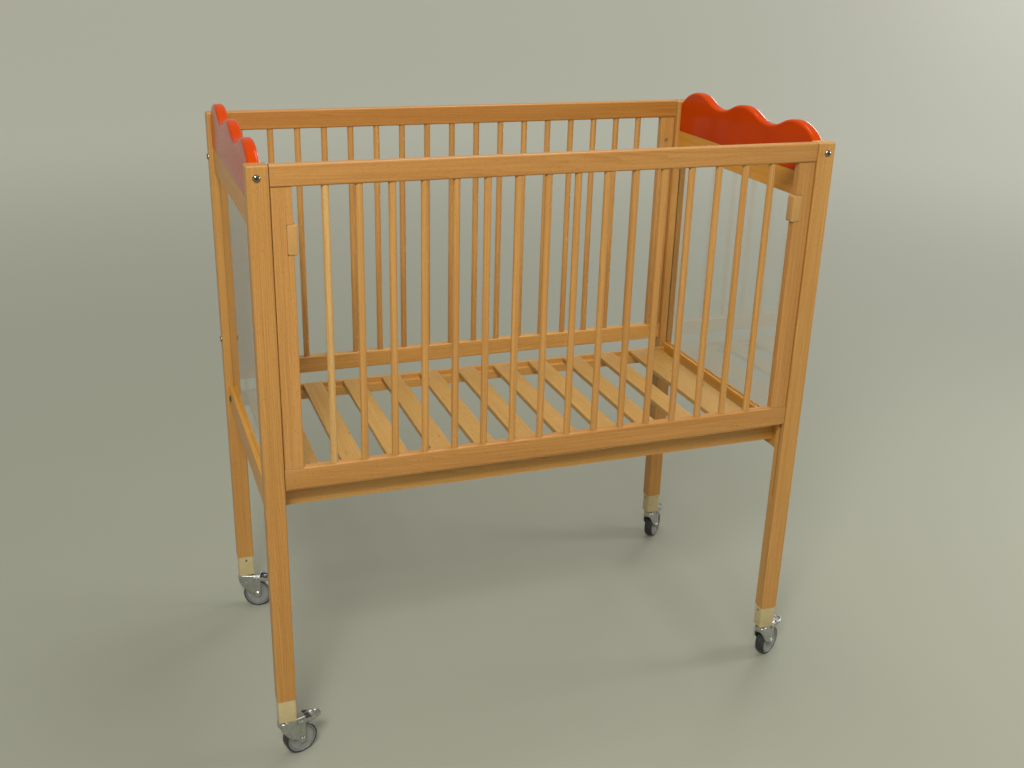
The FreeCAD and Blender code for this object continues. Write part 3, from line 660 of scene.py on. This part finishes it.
# The dark lining of a domed head's hexagon socket, painted shade where the head is bright.
DOME_SOCKET_PROFILE = (
    (2.95, 0.6, 6), (2.95, 3.2, 6), (2.75, 3.2, 6), (2.6, 1.4, 6), (1.0, 1.1),
)
DOME_STEPS = 48
END_BEECH_LIGHT = (0.640, 0.305, 0.036)
END_BEECH_DARK = (0.400, 0.155, 0.012)
LACQUER = (0.45, 0.041, 0.0)
LACQUER_SHADE = (0.36, 0.025, 0.0)
LACQUER_DEEP = (0.29, 0.014, 0.001)
LACQUER_CLOUDS = ((9.0, 3.0, 9.0), 0.35, 0.70, 2.0, 0.6)
LACQUER_CLOUD_SHARE = 0.6
LACQUER_GRAIN = ((420.0, 9.0, 420.0), 0.35, 0.70, 3.0, 0.6)
LACQUER_GRAIN_SHARE = 0.16
LACQUER_RUBS = ((120.0, 26.0, 120.0), 0.55, 0.75, 4.0, 0.7)
LACQUER_RUB_HEIGHT = 0.5
LACQUER_ROUGHNESS = (0.15, 0.25)
LACQUER_GLOSS = 0.08
LACQUER_BUMP = (0.06, 0.00008)
ACRYLIC = (0.972, 0.984, 0.978)
ACRYLIC_SMEARED = (0.940, 0.956, 0.945)
ACRYLIC_SMEARS = ((9.0, 6.0, 3.0), 0.45, 0.75, 3.0, 0.6)
ACRYLIC_WIPES = ((40.0, 14.0, 9.0), 0.50, 0.75, 4.0, 0.7)
ACRYLIC_ROUGHNESS = (0.015, 0.09)
ACRYLIC_BENDING = 1.49


def make_lacquer():
    """Glossy orange-red lacquer over wood: the grain telegraphs through a little, and the
    gloss is broken by fine rubbing marks."""
    material, tree, shader = new_material("orange_lacquer")
    coords = object_coords(tree)
    grain = marks(tree, coords, *LACQUER_GRAIN)
    rubs = marks(tree, coords, *LACQUER_RUBS)
    clouds = times(tree, marks(tree, coords, *LACQUER_CLOUDS), LACQUER_CLOUD_SHARE)
    tone = tint(tree, clouds, LACQUER, LACQUER_SHADE)
    tone = tint(tree, times(tree, grain, LACQUER_GRAIN_SHARE), tone, LACQUER_DEEP)
    tree.links.new(tone, shader.inputs["Base Color"])
    tree.links.new(ramp(tree, rubs, 0.0, 1.0, *LACQUER_ROUGHNESS), shader.inputs["Roughness"])
    shader.inputs["Specular IOR Level"].default_value = LACQUER_GLOSS
    height = plus(tree, grain, times(tree, rubs, LACQUER_RUB_HEIGHT))
    add_bump(tree, shader, height, *LACQUER_BUMP)
    return material


def make_acrylic():
    """Clear polished sheet with a faint cast, and fine wiping marks in its gloss."""
    material, tree, shader = new_material("clear_acrylic")
    coords = object_coords(tree)
    wipes = marks(tree, coords, *ACRYLIC_WIPES, shown=ACRYLIC_ROUGHNESS)
    tree.links.new(wipes, shader.inputs["Roughness"])
    smears = marks(tree, coords, *ACRYLIC_SMEARS)
    tree.links.new(tint(tree, smears, ACRYLIC, ACRYLIC_SMEARED), shader.inputs["Base Color"])
    shader.inputs["IOR"].default_value = ACRYLIC_BENDING
    shader.inputs["Transmission Weight"].default_value = 1.0
    return material


def arc_drop(radius, run):
    """How far an arc falls below its top, at a distance from it."""
    return radius - math.sqrt(radius**2 - run**2)


def wave_height(y):
    """The height of the board's top edge: tangent arcs over humps and valleys."""
    hump_y, hump_z = CREST_HUMP
    half_pitch = hump_y / 2
    rise = hump_z - CREST_VALLEY_Z
    wave_radius = (half_pitch**2 + rise**2) / (4 * rise)
    end_run, end_drop = POST_IN_Y - hump_y, hump_z - CREST_END_Z
    end_radius = (end_run**2 + end_drop**2) / (2 * end_drop)
    y = abs(y)
    if y > hump_y:
        return hump_z - arc_drop(end_radius, y - hump_y)
    from_hump = min(y % hump_y, hump_y - y % hump_y)
    if from_hump < half_pitch / 2:
        return hump_z - arc_drop(wave_radius, from_hump)
    return CREST_VALLEY_Z + arc_drop(wave_radius, half_pitch - from_hump)


def wave_slope(y):
    """The slope of the top edge over a short run that stops at the board's far end."""
    end = min(y + CREST_SLOPE_RUN / 2, POST_IN_Y)
    return (wave_height(end) - wave_height(end - CREST_SLOPE_RUN)) / CREST_SLOPE_RUN


def make_crest(end, side_x):
    """The board is a slab, with both arrises of its waved edge rounded over."""
    count = round(2 * POST_IN_Y / CREST_POINT_GAP)
    top = []
    for number in range(count + 1):
        y = -POST_IN_Y + 2 * POST_IN_Y * number / count
        upright_share = Vector((-wave_slope(y), 1.0)).normalized().y
        top.append((y, wave_height(y), upright_share))
    rings = []
    for face in (-1, 1):
        for step in range(CREST_ROUND_STEPS + 1):
            turn = step if face < 0 else CREST_ROUND_STEPS - step
            angle = math.pi / 2 * turn / CREST_ROUND_STEPS
            inset = CREST_ROUND * (1 - math.sin(angle))
            from_middle = CREST_THICK / 2 - CREST_ROUND * (1 - math.cos(angle))
            x = side_x * POST_X + face * from_middle
            ring = [(x, y, z - inset / upright_share) for y, z, upright_share in top]
            ring += [(x, POST_IN_Y, CREST_FOOT_Z), (x, -POST_IN_Y, CREST_FOOT_Z)]
            rings.append(ring)
    build = bmesh.new()
    skin(build, rings)
    name = "wave_board_" + end
    make_piece(name, build, lacquer, "orange_lacquer", "frame", "crest_board_" + end)


def domed_bolt(heads, sockets, seat, direction):
    """A domed head with a thin rim, standing on a face, and a dark lining in its hexagon socket,
    which is painted shade in a bright head.
    """
    place = facing(seat, direction)
    turned(heads, place, DOME_PROFILE, DOME_STEPS)
    turned(sockets, place, DOME_SOCKET_PROFILE, DOME_STEPS)


end_beech = make_wood("end_beech", "Y", END_BEECH_LIGHT, END_BEECH_DARK)
lacquer = make_lacquer()
acrylic = make_acrylic()
end_bolts = bmesh.new()
end_socket_shades = bmesh.new()
for end, side_x in ENDS:
    dress("end_bottom_rail_" + end, end_beech)
    dress("end_top_rail_" + end, end_beech)
    dress("clear_sheet_" + end, acrylic)
    make_crest(end, side_x)
    for side_y in (-1, 1):
        seat = (side_x * END_BOLT_X, side_y * POST_OUT_Y, END_BOLT_Z)
        domed_bolt(end_bolts, end_socket_shades, seat, (0, side_y, 0))
make_piece("post_top_bolts", end_bolts, chrome, "bright_bolt", "frame", "end_bolts")
make_piece("post_top_bolt_sockets", end_socket_shades, blackened_metal_and_socket_shade, "dark_bolt", "frame", "end_bolts")

# ---- base ---------------------------------------------------------------------------------
# Two beech rails run from end to end, with a rebate along the top, and eleven paler sawn
# slats lie in it. Blackened bolts through the end rails hold the base.

BASE_RAIL_Y = (-271.5, 293.5)
BASE_BOLT_X, BASE_BOLT_Z = 620.7, 620.5
SLAT_Y = (-274.0, 296.0)
SLAT_Z = (625.0, 637.0)
SLAT_PITCH = 103.0
NARROW_SLATS = 9
SLAT_WIDTH = 50.0
SLAT_CORNER = 1.5
SLAT_EASE = 0.6
END_SLAT_X = (487.0, 580.0)
SLAT_LIGHT = (0.500, 0.295, 0.080)
SLAT_DARK = (0.350, 0.180, 0.040)
SLAT_FLECK = (0.150, 0.066, 0.016)
SLAT_TONES = (0.0, 0.8)
# The base rails and the rear bottom rail are in a lighter beech than the posts: painted light that
# lifts the shade the drop side's bottom rail throws on the base.
BASE_BEECH_LIGHT = (0.62, 0.345, 0.092)
BASE_BEECH_DARK = (0.42, 0.19, 0.036)
STICK_SEED = 11
STICK_TONES = random.Random(STICK_SEED)


def number_sticks(piece, tones):
    """Write each stick's own tone into the mesh, where the sticks follow one another."""
    points_each = len(piece.data.vertices) // len(tones)
    own = piece.data.attributes.new("stick", "FLOAT", "POINT")
    for number in range(len(piece.data.vertices)):
        own.data[number].value = tones[number // points_each]


slat_wood = make_wood("slat_wood", "Y", SLAT_LIGHT, SLAT_DARK, SLAT_FLECK, 0.5,
                      sticks=True, knots=True, varnish=0.0)
base_beech = make_wood("base_beech", "X", BASE_BEECH_LIGHT, BASE_BEECH_DARK)
for node in ("base_rail_front", "base_rail_rear"):
    dress(node, base_beech)
slat_build = bmesh.new()
slat_spans = []
for number in range(NARROW_SLATS):
    slat_spans.append(((number - (NARROW_SLATS - 1) / 2) * SLAT_PITCH, SLAT_WIDTH))
slat_spans += [(side * sum(END_SLAT_X) / 2, END_SLAT_X[1] - END_SLAT_X[0]) for side in (-1, 1)]
slat_thick, slat_length = SLAT_Z[1] - SLAT_Z[0], SLAT_Y[1] - SLAT_Y[0]
slat_tones = []
for middle_x, wide in slat_spans:
    place = facing((middle_x, SLAT_Y[0], sum(SLAT_Z) / 2), (0, 1, 0))
    eased_bar(slat_build, place, wide, slat_thick, slat_length, SLAT_CORNER, SLAT_EASE)
    slat_tones.append(STICK_TONES.uniform(*SLAT_TONES))
slat_piece = make_piece("slat_set", slat_build, slat_wood, "slat_wood", "frame", "slats")
number_sticks(slat_piece, slat_tones)
base_bolts = bmesh.new()
base_sockets = bmesh.new()
for _, side_x in ENDS:
    for rail_y in BASE_RAIL_Y:
        seat = (side_x * BASE_BOLT_X, rail_y, BASE_BOLT_Z)
        domed_bolt(base_bolts, base_sockets, seat, (side_x, 0, 0))
make_piece("base_rail_bolts", base_bolts, blackened_metal_and_socket_shade, "dark_bolt", "frame", "base_bolts")
make_piece("base_rail_bolt_sockets", base_sockets, blackened_metal_and_socket_shade, "dark_bolt", "frame", "base_bolts")

# ---- fixed rear side ----------------------------------------------------------------------
# Two rails, two stiles and sixteen turned bars, bolted through the rear posts into slotted
# barrel nuts let into the stiles.

BAR_RADIUS = 7.5
BAR_PITCH = 64.5
BARS = 16
BAR_STEPS = 36
REAR_Y = (319.5, 339.5)
REAR_BAR_Z = (703.0, 1283.0)
REAR_BAR_TONES = (0.1, 0.9)
SIDE_BOLT_Y = 329.0
SIDE_BOLT_HEIGHTS = (769.5, 1223.5)
BARREL_NUT_X = 565.5
NUT_PROFILE = ((5.0, -14.5), (5.0, -0.5), (4.6, -0.05))
# The slot's cutter: its width, depth, length, corner and ease.
NUT_SLOT = (12.0, 1.4, 3.0, 0.3, 0.1)
NUT_SLOT_FLOOR = -1.5
NUT_SLOT_TURN = 0.4
# The rear top rail's beech is redder and darker than the posts': its darkness is painted shade.
RED_BEECH_LIGHT = (0.455, 0.208, 0.042)
RED_BEECH_DARK = (0.300, 0.115, 0.016)


def turned_bars(name, node, body, middle_y, span, tones):
    """The round bars of one side, turned from straight-grained sticks."""
    build = bmesh.new()
    for number in range(BARS):
        x = (number - (BARS - 1) / 2) * BAR_PITCH
        profile = [(BAR_RADIUS, z) for z in span]
        turned(build, Matrix.Translation((x, middle_y, 0)), profile, BAR_STEPS)
    number_sticks(make_piece(name, build, bar_wood, "oiled_beech", body, node), tones)


bar_wood = make_wood("bar_beech", "Z", BEECH_LIGHT, BEECH_DARK, ring_depth=0.4,
                     sticks=True, varnish=0.3)
red_beech = make_wood("red_beech", "X", RED_BEECH_LIGHT, RED_BEECH_DARK)
dress("rear_top_rail", red_beech)
dress("rear_bottom_rail", base_beech)
for node in ("rear_stile_left", "rear_stile_right"):
    dress(node, upright_beech)
rear_tones = [STICK_TONES.uniform(*REAR_BAR_TONES) for _ in range(BARS)]
turned_bars("fixed_bars", "rear_bars", "frame", sum(REAR_Y) / 2, REAR_BAR_Z, rear_tones)
nuts = bmesh.new()
nut_slots = bmesh.new()
side_bolts = bmesh.new()
side_socket_shades = bmesh.new()
for _, side_x in ENDS:
    for height in SIDE_BOLT_HEIGHTS:
        place = facing((side_x * BARREL_NUT_X, REAR_Y[0], height), (0, -1, 0))
        turned(nuts, place, NUT_PROFILE)
        slot_place = place @ Matrix.Translation((0, 0, NUT_SLOT_FLOOR))
        eased_bar(nut_slots, slot_place @ Matrix.Rotation(NUT_SLOT_TURN, 4, "Z"), *NUT_SLOT)
        seat = (side_x * POST_OUT_X, SIDE_BOLT_Y, height)
        domed_bolt(side_bolts, side_socket_shades, seat, (side_x, 0, 0))
nut_piece = make_piece("slotted_nuts", nuts, zinc, "zinc_steel", "frame", "barrel_nuts")
cut_away(nut_piece, nut_slots)
make_piece("rear_post_bolts", side_bolts, chrome, "bright_bolt", "frame", "side_bolts")
make_piece("rear_post_bolt_sockets", side_socket_shades, blackened_metal_and_socket_shade, "dark_bolt", "frame", "side_bolts")

# ---- drop side ----------------------------------------------------------------------------
# Built like the rear side, but with steel studs on its ends that run in the front posts'
# grooves. Its first bar is a paler stick than the rest.

DROP_Y = (-337.6, -317.6)
DROP_BAR_Z = (711.0, 1285.0)
DROP_LIGHT = (0.530, 0.274, 0.074)
DROP_DARK = (0.315, 0.130, 0.024)
PALE_BAR_TONE = -0.55
DROP_BAR_TONES = (0.1, 0.8)

drop_rail_beech = make_wood("drop_rail_beech", "X", DROP_LIGHT, DROP_DARK)
drop_stile_beech = make_wood("drop_stile_beech", "Z", DROP_LIGHT, DROP_DARK)
for node in ("drop_top_rail", "drop_bottom_rail"):
    dress(node, drop_rail_beech)
for node in ("drop_stile_left", "drop_stile_right"):
    dress(node, drop_stile_beech)
drop_tones = [PALE_BAR_TONE]
drop_tones += [STICK_TONES.uniform(*DROP_BAR_TONES) for _ in range(BARS - 1)]
turned_bars("drop_side_bars", "drop_bars", "drop_side", sum(DROP_Y) / 2, DROP_BAR_Z, drop_tones)
dress("guide_studs", zinc)

# ---- catches ------------------------------------------------------------------------------
# A hardwood block with rounded corners slides in a notch in each stile and pulls a bright
# bolt out of the post.

CATCH_X, CATCH_Z = 550.0, 1184.5
CATCH_SIZE = (20.0, 59.0)
CATCH_Y = (-339.6, -315.6)
CATCH_CORNER = 4.0
CATCH_EASE = 2.4
CATCH_LIGHT = (0.490, 0.280, 0.088)
CATCH_DARK = (0.390, 0.200, 0.054)
CATCH_FLECK = (0.23, 0.10, 0.024)

catch_wood = make_wood("catch_hardwood", "Z", CATCH_LIGHT, CATCH_DARK, CATCH_FLECK, 0.35)
for end, side_x in ENDS:
    catch_build = bmesh.new()
    place = facing((side_x * CATCH_X, CATCH_Y[1], CATCH_Z), (0, -1, 0))
    catch_depth = CATCH_Y[1] - CATCH_Y[0]
    eased_bar(catch_build, place, *CATCH_SIZE, catch_depth, CATCH_CORNER, CATCH_EASE)
    catch = "catch_" + end
    make_piece("catch_block_" + end, catch_build, catch_wood, "catch_wood", catch, catch)
    dress("latch_bolt_" + end, chrome)

# ---- casters ------------------------------------------------------------------------------
# A pressed and zinc-plated fork swivels under a race cup on the stem. It carries a grey
# moulded wheel with a black rubber tyre on a bolt, and a pressed brake pedal on a rivet.

WHEEL_RADIUS = 37.5
WHEEL_TRAIL = 29.0
FORK_HALF = 14.9
FORK_TOP = 94.8
FORK_FRONT_X = -21.0
FORK_CORNER = 10.0
FORK_CORNER_STEPS = 8
FORK_BEND = 3.0
FORK_BEND_STEPS = 4
FORK_THICK = 2.2
FORK_BOSS = 9.0
FORK_FRONT_Z = 82.0
FORK_BELLY = (-6.5, 57.0)
# The places along a leg at which its foot is set out, close together round the boss.
FORK_LEG_X = (
    38.0, 37.7, 36.9, 35.4, 33.0, 31.0, 29.0, 27.0, 25.0, 22.6, 21.1, 20.3, 20.0,
    17.0, 14.0, 10.5, 7.0, 3.5, 0.0, -4.0, -8.0,
)
FORK_INSIDE = (9.0, 0.0, 70.0)
PEDAL_RIM = ((18.0, 91.0), (48.0, 88.5), (66.0, 84.0), (82.0, 83.0))
PEDAL_FLOOR = ((18.0, 79.0), (62.0, 78.0), (65.0, 80.2), (82.0, 80.2))
PEDAL_HALF = 17.0
PEDAL_NOSE_HALF = 14.5
PEDAL_NOSE_X = 82.0
PEDAL_NOSE_STEPS = 8
PEDAL_FLOOR_X = 44.5
PEDAL_TAPER_X = (52.0, 70.0)
PEDAL_SIDE_X = (18.0, 24.0, 30.0, 36.0, PEDAL_FLOOR_X, 48.0, PEDAL_TAPER_X[0])
PEDAL_DRAWN_X = (57.0, 62.0, 65.0, PEDAL_TAPER_X[1])
PEDAL_INSIDE = (50.0, 0.0, 84.0)
PEDAL_WALL = 1.5
PEDAL_BEND = 1.8
BEND_STEPS, BEND_ANGLE = 3, math.radians(50)
CUT_EDGE = 0.4
CUT_EDGE_STEPS, CUT_EDGE_ANGLE = 2, math.radians(60)
PEDAL_PIVOT = (28.0, 0.0, 84.0)
RIVET_PROFILE = (
    (1.6, -18.3), (2.9, -17.9), (3.3, -17.1), (2.5, -17.0),
    (2.5, 17.0), (3.3, 17.1), (2.9, 17.9), (1.6, 18.3),
)
RIVET_STEPS = 24
# The black block in the pedal's tray, painted shade, and the stem: width, depth, length, corner and
# ease.
TRAY_SHADE_BLOCK = (18.0, 20.0, 6.2, 1.5, 0.8)
TRAY_SHADE_BLOCK_SEAT = (47.0, 0.0, 77.4)
STEM = (9.6, 9.6, 35.0, 1.0, 1.0)
STEM_FOOT_Z = 97.0
WHEEL_PROFILE = (
    (4.1, -12.4), (7.2, -12.4), (8.0, -11.9), (8.4, -9.9), (9.6, -8.6), (24.0, -8.2),
    (27.9, -8.8), (28.8, -9.4), (29.2, -6.0), (30.4, -6.0), (30.7, -10.6), (31.1, -11.2),
    (32.7, -11.4), (33.3, -10.9),
)
TYRE_PROFILE = (
    (33.3, -11.3), (33.8, -11.8), (35.2, -11.9), (36.4, -11.3), (37.2, -10.0), (37.5, -8.4),
)
WHEEL_STEPS = 72
AXLE_PROFILE = (
    (4.0, -18.1), (4.6, -18.1), (5.9, -18.0), (6.8, -17.3, 6), (6.8, -14.9, 6), (4.0, -14.9),
    (4.0, 14.9), (6.8, 14.9, 6), (6.8, 17.2, 6), (5.9, 18.1), (4.0, 18.1), (3.6, 17.7),
)
AXLE_STEPS = 48
RACE_PROFILE = (
    (5.0, 94.9), (14.6, 94.9), (15.5, 95.1), (15.8, 95.5), (15.4, 95.9), (14.2, 96.1),
    (14.2, 96.3), (15.6, 96.5), (16.2, 96.9), (16.0, 97.4), (15.2, 97.6), (5.0, 97.6),
)
RACE_STEPS = 48
KINGPIN_PROFILE = (
    (6.5, 89.9), (7.0, 90.3), (7.0, 91.7), (6.5, 92.2), (4.4, 92.2), (4.4, 95.5),
)
KINGPIN_STEPS = 32
ACROSS = Matrix.Rotation(-math.pi / 2, 4, "X")
NYLON, NYLON_SHADE = (0.215, 0.220, 0.195), (0.160, 0.163, 0.145)
NYLON_SCUFFED = (0.13, 0.128, 0.12)
NYLON_CLOUDS = ((60.0, 60.0, 60.0), 0.35, 0.70, 3.0, 0.6)
NYLON_SCUFFS = ((420.0, 420.0, 160.0), 0.56, 0.70, 4.0, 0.7)
NYLON_SCUFF_SHARE = 0.5
NYLON_ROUGHNESS = (0.36, 0.6)
NYLON_BUMP = (0.2, 0.0001)
RUBBER, RUBBER_DUSTY = (0.017, 0.017, 0.018), (0.075, 0.073, 0.066)
RUBBER_DUST = ((130.0, 130.0, 130.0), 0.48, 0.75, 5.0, 0.7)
RUBBER_DUST_SHARE = 0.7
RUBBER_ROUGHNESS = (0.42, 0.75)
RUBBER_PITS, RUBBER_BUMP = (900.0, 900.0, 900.0), (0.25, 0.0001)


def make_nylon():
    """Grey moulded nylon, dulled and scuffed by the floor."""
    material, tree, shader = new_material("grey_nylon")
    coords = object_coords(tree)
    scuffs = marks(tree, coords, *NYLON_SCUFFS)
    tone = tint(tree, marks(tree, coords, *NYLON_CLOUDS), NYLON, NYLON_SHADE)
    tone = tint(tree, times(tree, scuffs, NYLON_SCUFF_SHARE), tone, NYLON_SCUFFED)
    tree.links.new(tone, shader.inputs["Base Color"])
    tree.links.new(ramp(tree, scuffs, 0.0, 1.0, *NYLON_ROUGHNESS), shader.inputs["Roughness"])
    add_bump(tree, shader, scuffs, *NYLON_BUMP)
    return material


def make_rubber():
    """Black rubber, greyer where dust sticks to it."""
    material, tree, shader = new_material("black_rubber")
    coords = object_coords(tree)
    dust = marks(tree, coords, *RUBBER_DUST)
    tone = tint(tree, times(tree, dust, RUBBER_DUST_SHARE), RUBBER, RUBBER_DUSTY)
    tree.links.new(tone, shader.inputs["Base Color"])
    tree.links.new(ramp(tree, dust, 0.0, 1.0, *RUBBER_ROUGHNESS), shader.inputs["Roughness"])
    add_bump(tree, shader, noise(tree, coords, RUBBER_PITS), *RUBBER_BUMP)
    return material


def arc_through(first, middle, last):
    """The centre and the radius of the arc through three points."""
    middle_x, middle_z = middle[0] - first[0], middle[1] - first[1]
    last_x, last_z = last[0] - first[0], last[1] - first[1]
    middle_square, last_square = middle_x**2 + middle_z**2, last_x**2 + last_z**2
    four_areas = 2 * (middle_x * last_z - middle_z * last_x)
    x = (last_z * middle_square - middle_z * last_square) / four_areas
    z = (middle_x * last_square - last_x * middle_square) / four_areas
    return (first[0] + x, first[1] + z), math.hypot(x, z)


def fork_foot(x):
    """How low the fork's leg reaches: a belly back to the axle, then round its boss."""
    boss_front = (WHEEL_TRAIL - FORK_BOSS, WHEEL_RADIUS)
    if x > boss_front[0]:
        return WHEEL_RADIUS - math.sqrt(max(FORK_BOSS**2 - (x - WHEEL_TRAIL) ** 2, 0.0))
    centre, radius = arc_through((FORK_FRONT_X, FORK_FRONT_Z), FORK_BELLY, boss_front)
    return centre[1] - math.sqrt(radius**2 - (x - centre[0]) ** 2)


def line_height(line, x):
    """The height of a line of (along, height) points at a place along it."""
    for (start_x, start_z), (end_x, end_z) in zip(line, line[1:]):
        if x <= end_x:
            return start_z + (end_z - start_z) * (x - start_x) / (end_x - start_x)
    return line[-1][1]


def sheet_strip(build, columns):
    """Join columns of points, side by side, into one bent sheet."""
    rows = [[build.verts.new(point) for point in column] for column in columns]
    for column, following in zip(rows, rows[1:]):
        for number in range(len(column) - 1):
            upper = number + 1
            build.faces.new((column[number], following[number], following[upper], column[upper]))
    return rows


def face_out(piece, inside):
    """Turn an open sheet's faces away from a point inside its bend."""
    inside = inside * MILLIMETRE
    outward = sum((face.center - inside).dot(face.normal) * face.area for face in piece.data.polygons)
    if outward < 0:
        piece.data.flip_normals()


def press(piece, thickness, bend=0.0):
    """Give a sheet its thickness, after rounding its bends, and dull its cut edges."""
    if bend:
        bends = piece.modifiers.new("bends", "BEVEL")
        bends.width = bend * MILLIMETRE
        bends.segments = BEND_STEPS
        bends.limit_method = "ANGLE"
        bends.angle_limit = BEND_ANGLE
    solid = piece.modifiers.new("thickness", "SOLIDIFY")
    solid.thickness = thickness * MILLIMETRE
    solid.offset = -1.0
    solid.use_even_offset = True
    edges = piece.modifiers.new("edges", "BEVEL")
    edges.width = CUT_EDGE * MILLIMETRE
    edges.segments = CUT_EDGE_STEPS
    edges.limit_method = "ANGLE"
    edges.angle_limit = CUT_EDGE_ANGLE


def make_fork(corner, place):
    """One sheet, bent down from a flat top into two legs joined round the front."""
    path = [(x, -FORK_HALF, (0.0, -1.0)) for x in FORK_LEG_X]
    for side_y in (-1, 1):
        for step in range(FORK_CORNER_STEPS + 1):
            share = step / FORK_CORNER_STEPS
            turn = math.radians(90 * (share if side_y < 0 else 1 - share))
            way = (-math.sin(turn), side_y * math.cos(turn))
            x = FORK_FRONT_X + FORK_CORNER + way[0] * FORK_CORNER
            y = side_y * (FORK_HALF - FORK_CORNER) + way[1] * FORK_CORNER
            path.append((x, y, way))
    path += [(x, FORK_HALF, (0.0, 1.0)) for x in reversed(FORK_LEG_X)]
    columns = []
    for x, y, way in path:
        column = [(x, y, fork_foot(x))]
        for step in range(FORK_BEND_STEPS + 1):
            angle = math.pi / 2 * step / FORK_BEND_STEPS
            inset = FORK_BEND * (1 - math.cos(angle))
            height = FORK_TOP - FORK_BEND + FORK_BEND * math.sin(angle)
            column.append((x - way[0] * inset, y - way[1] * inset, height))
        columns.append([place @ Vector(point) for point in column])
    build = bmesh.new()
    rows = sheet_strip(build, columns)
    build.faces.new([column[-1] for column in rows])
    body, name = "swivel_" + corner, "caster_fork_" + corner
    piece = make_piece(name, build, zinc, "zinc_steel", body, "fork_" + corner)
    face_out(piece, place @ Vector(FORK_INSIDE))
    press(piece, FORK_THICK)


def pedal_side():
    """One side of the pedal from above: straight, then drawn in, then round its nose."""
    taper_start, taper_end = PEDAL_TAPER_X
    nose_run = PEDAL_NOSE_X - taper_end
    nose_radius = (PEDAL_NOSE_HALF**2 + nose_run**2) / (2 * nose_run)
    nose_middle = PEDAL_NOSE_X - nose_radius
    side = [(x, PEDAL_HALF) for x in PEDAL_SIDE_X]
    for x in PEDAL_DRAWN_X:
        drawn_in = (PEDAL_NOSE_HALF - PEDAL_HALF) * (x - taper_start) / (taper_end - taper_start)
        side.append((x, PEDAL_HALF + drawn_in))
    start = math.atan2(PEDAL_NOSE_HALF, taper_end - nose_middle)
    for step in range(1, PEDAL_NOSE_STEPS):
        angle = start * (1 - step / PEDAL_NOSE_STEPS)
        x = nose_middle + nose_radius * math.cos(angle)
        side.append((x, nose_radius * math.sin(angle)))
    return side


def make_pedal(corner, place):
    """A pressed tray, open towards the fork, with a raised round pad at its nose. It turns
    on a rivet, and a black rubber block set under its floor stands up into the tray as painted shade."""
    body = node = "pedal_" + corner
    side = pedal_side()
    path = [(x, -y) for x, y in side] + [(PEDAL_NOSE_X, 0.0)] + side[::-1]
    columns = []
    for x, y in path:
        heights = (line_height(PEDAL_FLOOR, x), line_height(PEDAL_RIM, x))
        columns.append([place @ Vector((x, y, height)) for height in heights])
    build = bmesh.new()
    rows = sheet_strip(build, columns)
    nose = len(side)
    for number in range(PEDAL_SIDE_X.index(PEDAL_FLOOR_X), nose):
        near, far = rows[number][0], rows[number + 1][0]
        other_far, other_near = rows[-2 - number][0], rows[-1 - number][0]
        if number + 1 == nose:
            build.faces.new((near, far, other_near))
        else:
            build.faces.new((near, far, other_far, other_near))
    piece = make_piece("brake_pedal_" + corner, build, zinc, "zinc_steel", body, node)
    face_out(piece, place @ Vector(PEDAL_INSIDE))
    press(piece, PEDAL_WALL, PEDAL_BEND)

    rivet = bmesh.new()
    turned(rivet, place @ Matrix.Translation(PEDAL_PIVOT) @ ACROSS, RIVET_PROFILE, RIVET_STEPS)
    make_piece("pedal_rivet_" + corner, rivet, zinc, "zinc_steel", body, node)
    # A black rubber block under the floor stands up into the tray: painted shade.
    block = bmesh.new()
    eased_bar(block, place @ Matrix.Translation(TRAY_SHADE_BLOCK_SEAT), *TRAY_SHADE_BLOCK)
    make_piece("brake_block_" + corner, block, rubber, "tyre_black", body, node)


def make_wheel(corner, hub):
    """The disc and its tyre, each turned from one half of its section and its mirror."""
    for name, profile, material, slot, node in (
        ("caster_wheel_", WHEEL_PROFILE, nylon, "wheel_grey", "wheel_"),
        ("tyre_ring_", TYRE_PROFILE, rubber, "tyre_black", "tyre_"),
    ):
        build = bmesh.new()
        section = profile + tuple((radius, -offset) for radius, offset in reversed(profile))
        turned(build, hub, section, WHEEL_STEPS, loop=True)
        make_piece(name + corner, build, material, slot, "wheel_" + corner, node + corner)


def make_axle(corner, hub):
    """A bolt through the fork and the wheel, with a hexagon at each end."""
    build = bmesh.new()
    turned(build, hub, AXLE_PROFILE, AXLE_STEPS)
    body, name = "swivel_" + corner, "axle_bolt_" + corner
    make_piece(name, build, zinc, "bright_bolt", body, "axle_" + corner)


nylon = make_nylon()
rubber = make_rubber()
stems = bmesh.new()
for corner, side_x, side_y, trail_angle in CORNERS:
    stand = Matrix.Translation((side_x * POST_X, side_y * POST_Y, 0))
    eased_bar(stems, stand @ Matrix.Translation((0, 0, STEM_FOOT_Z)), *STEM)
    turned(stems, stand, RACE_PROFILE, RACE_STEPS)
    turned(stems, stand, KINGPIN_PROFILE, KINGPIN_STEPS)
    place = stand @ Matrix.Rotation(math.radians(trail_angle), 4, "Z")
    make_fork(corner, place)
    make_pedal(corner, place)
    hub = place @ Matrix.Translation((WHEEL_TRAIL, 0, WHEEL_RADIUS)) @ ACROSS
    make_wheel(corner, hub)
    make_axle(corner, hub)
make_piece("stems_and_races", stems, zinc, "zinc_steel", "frame", "caster_stems")
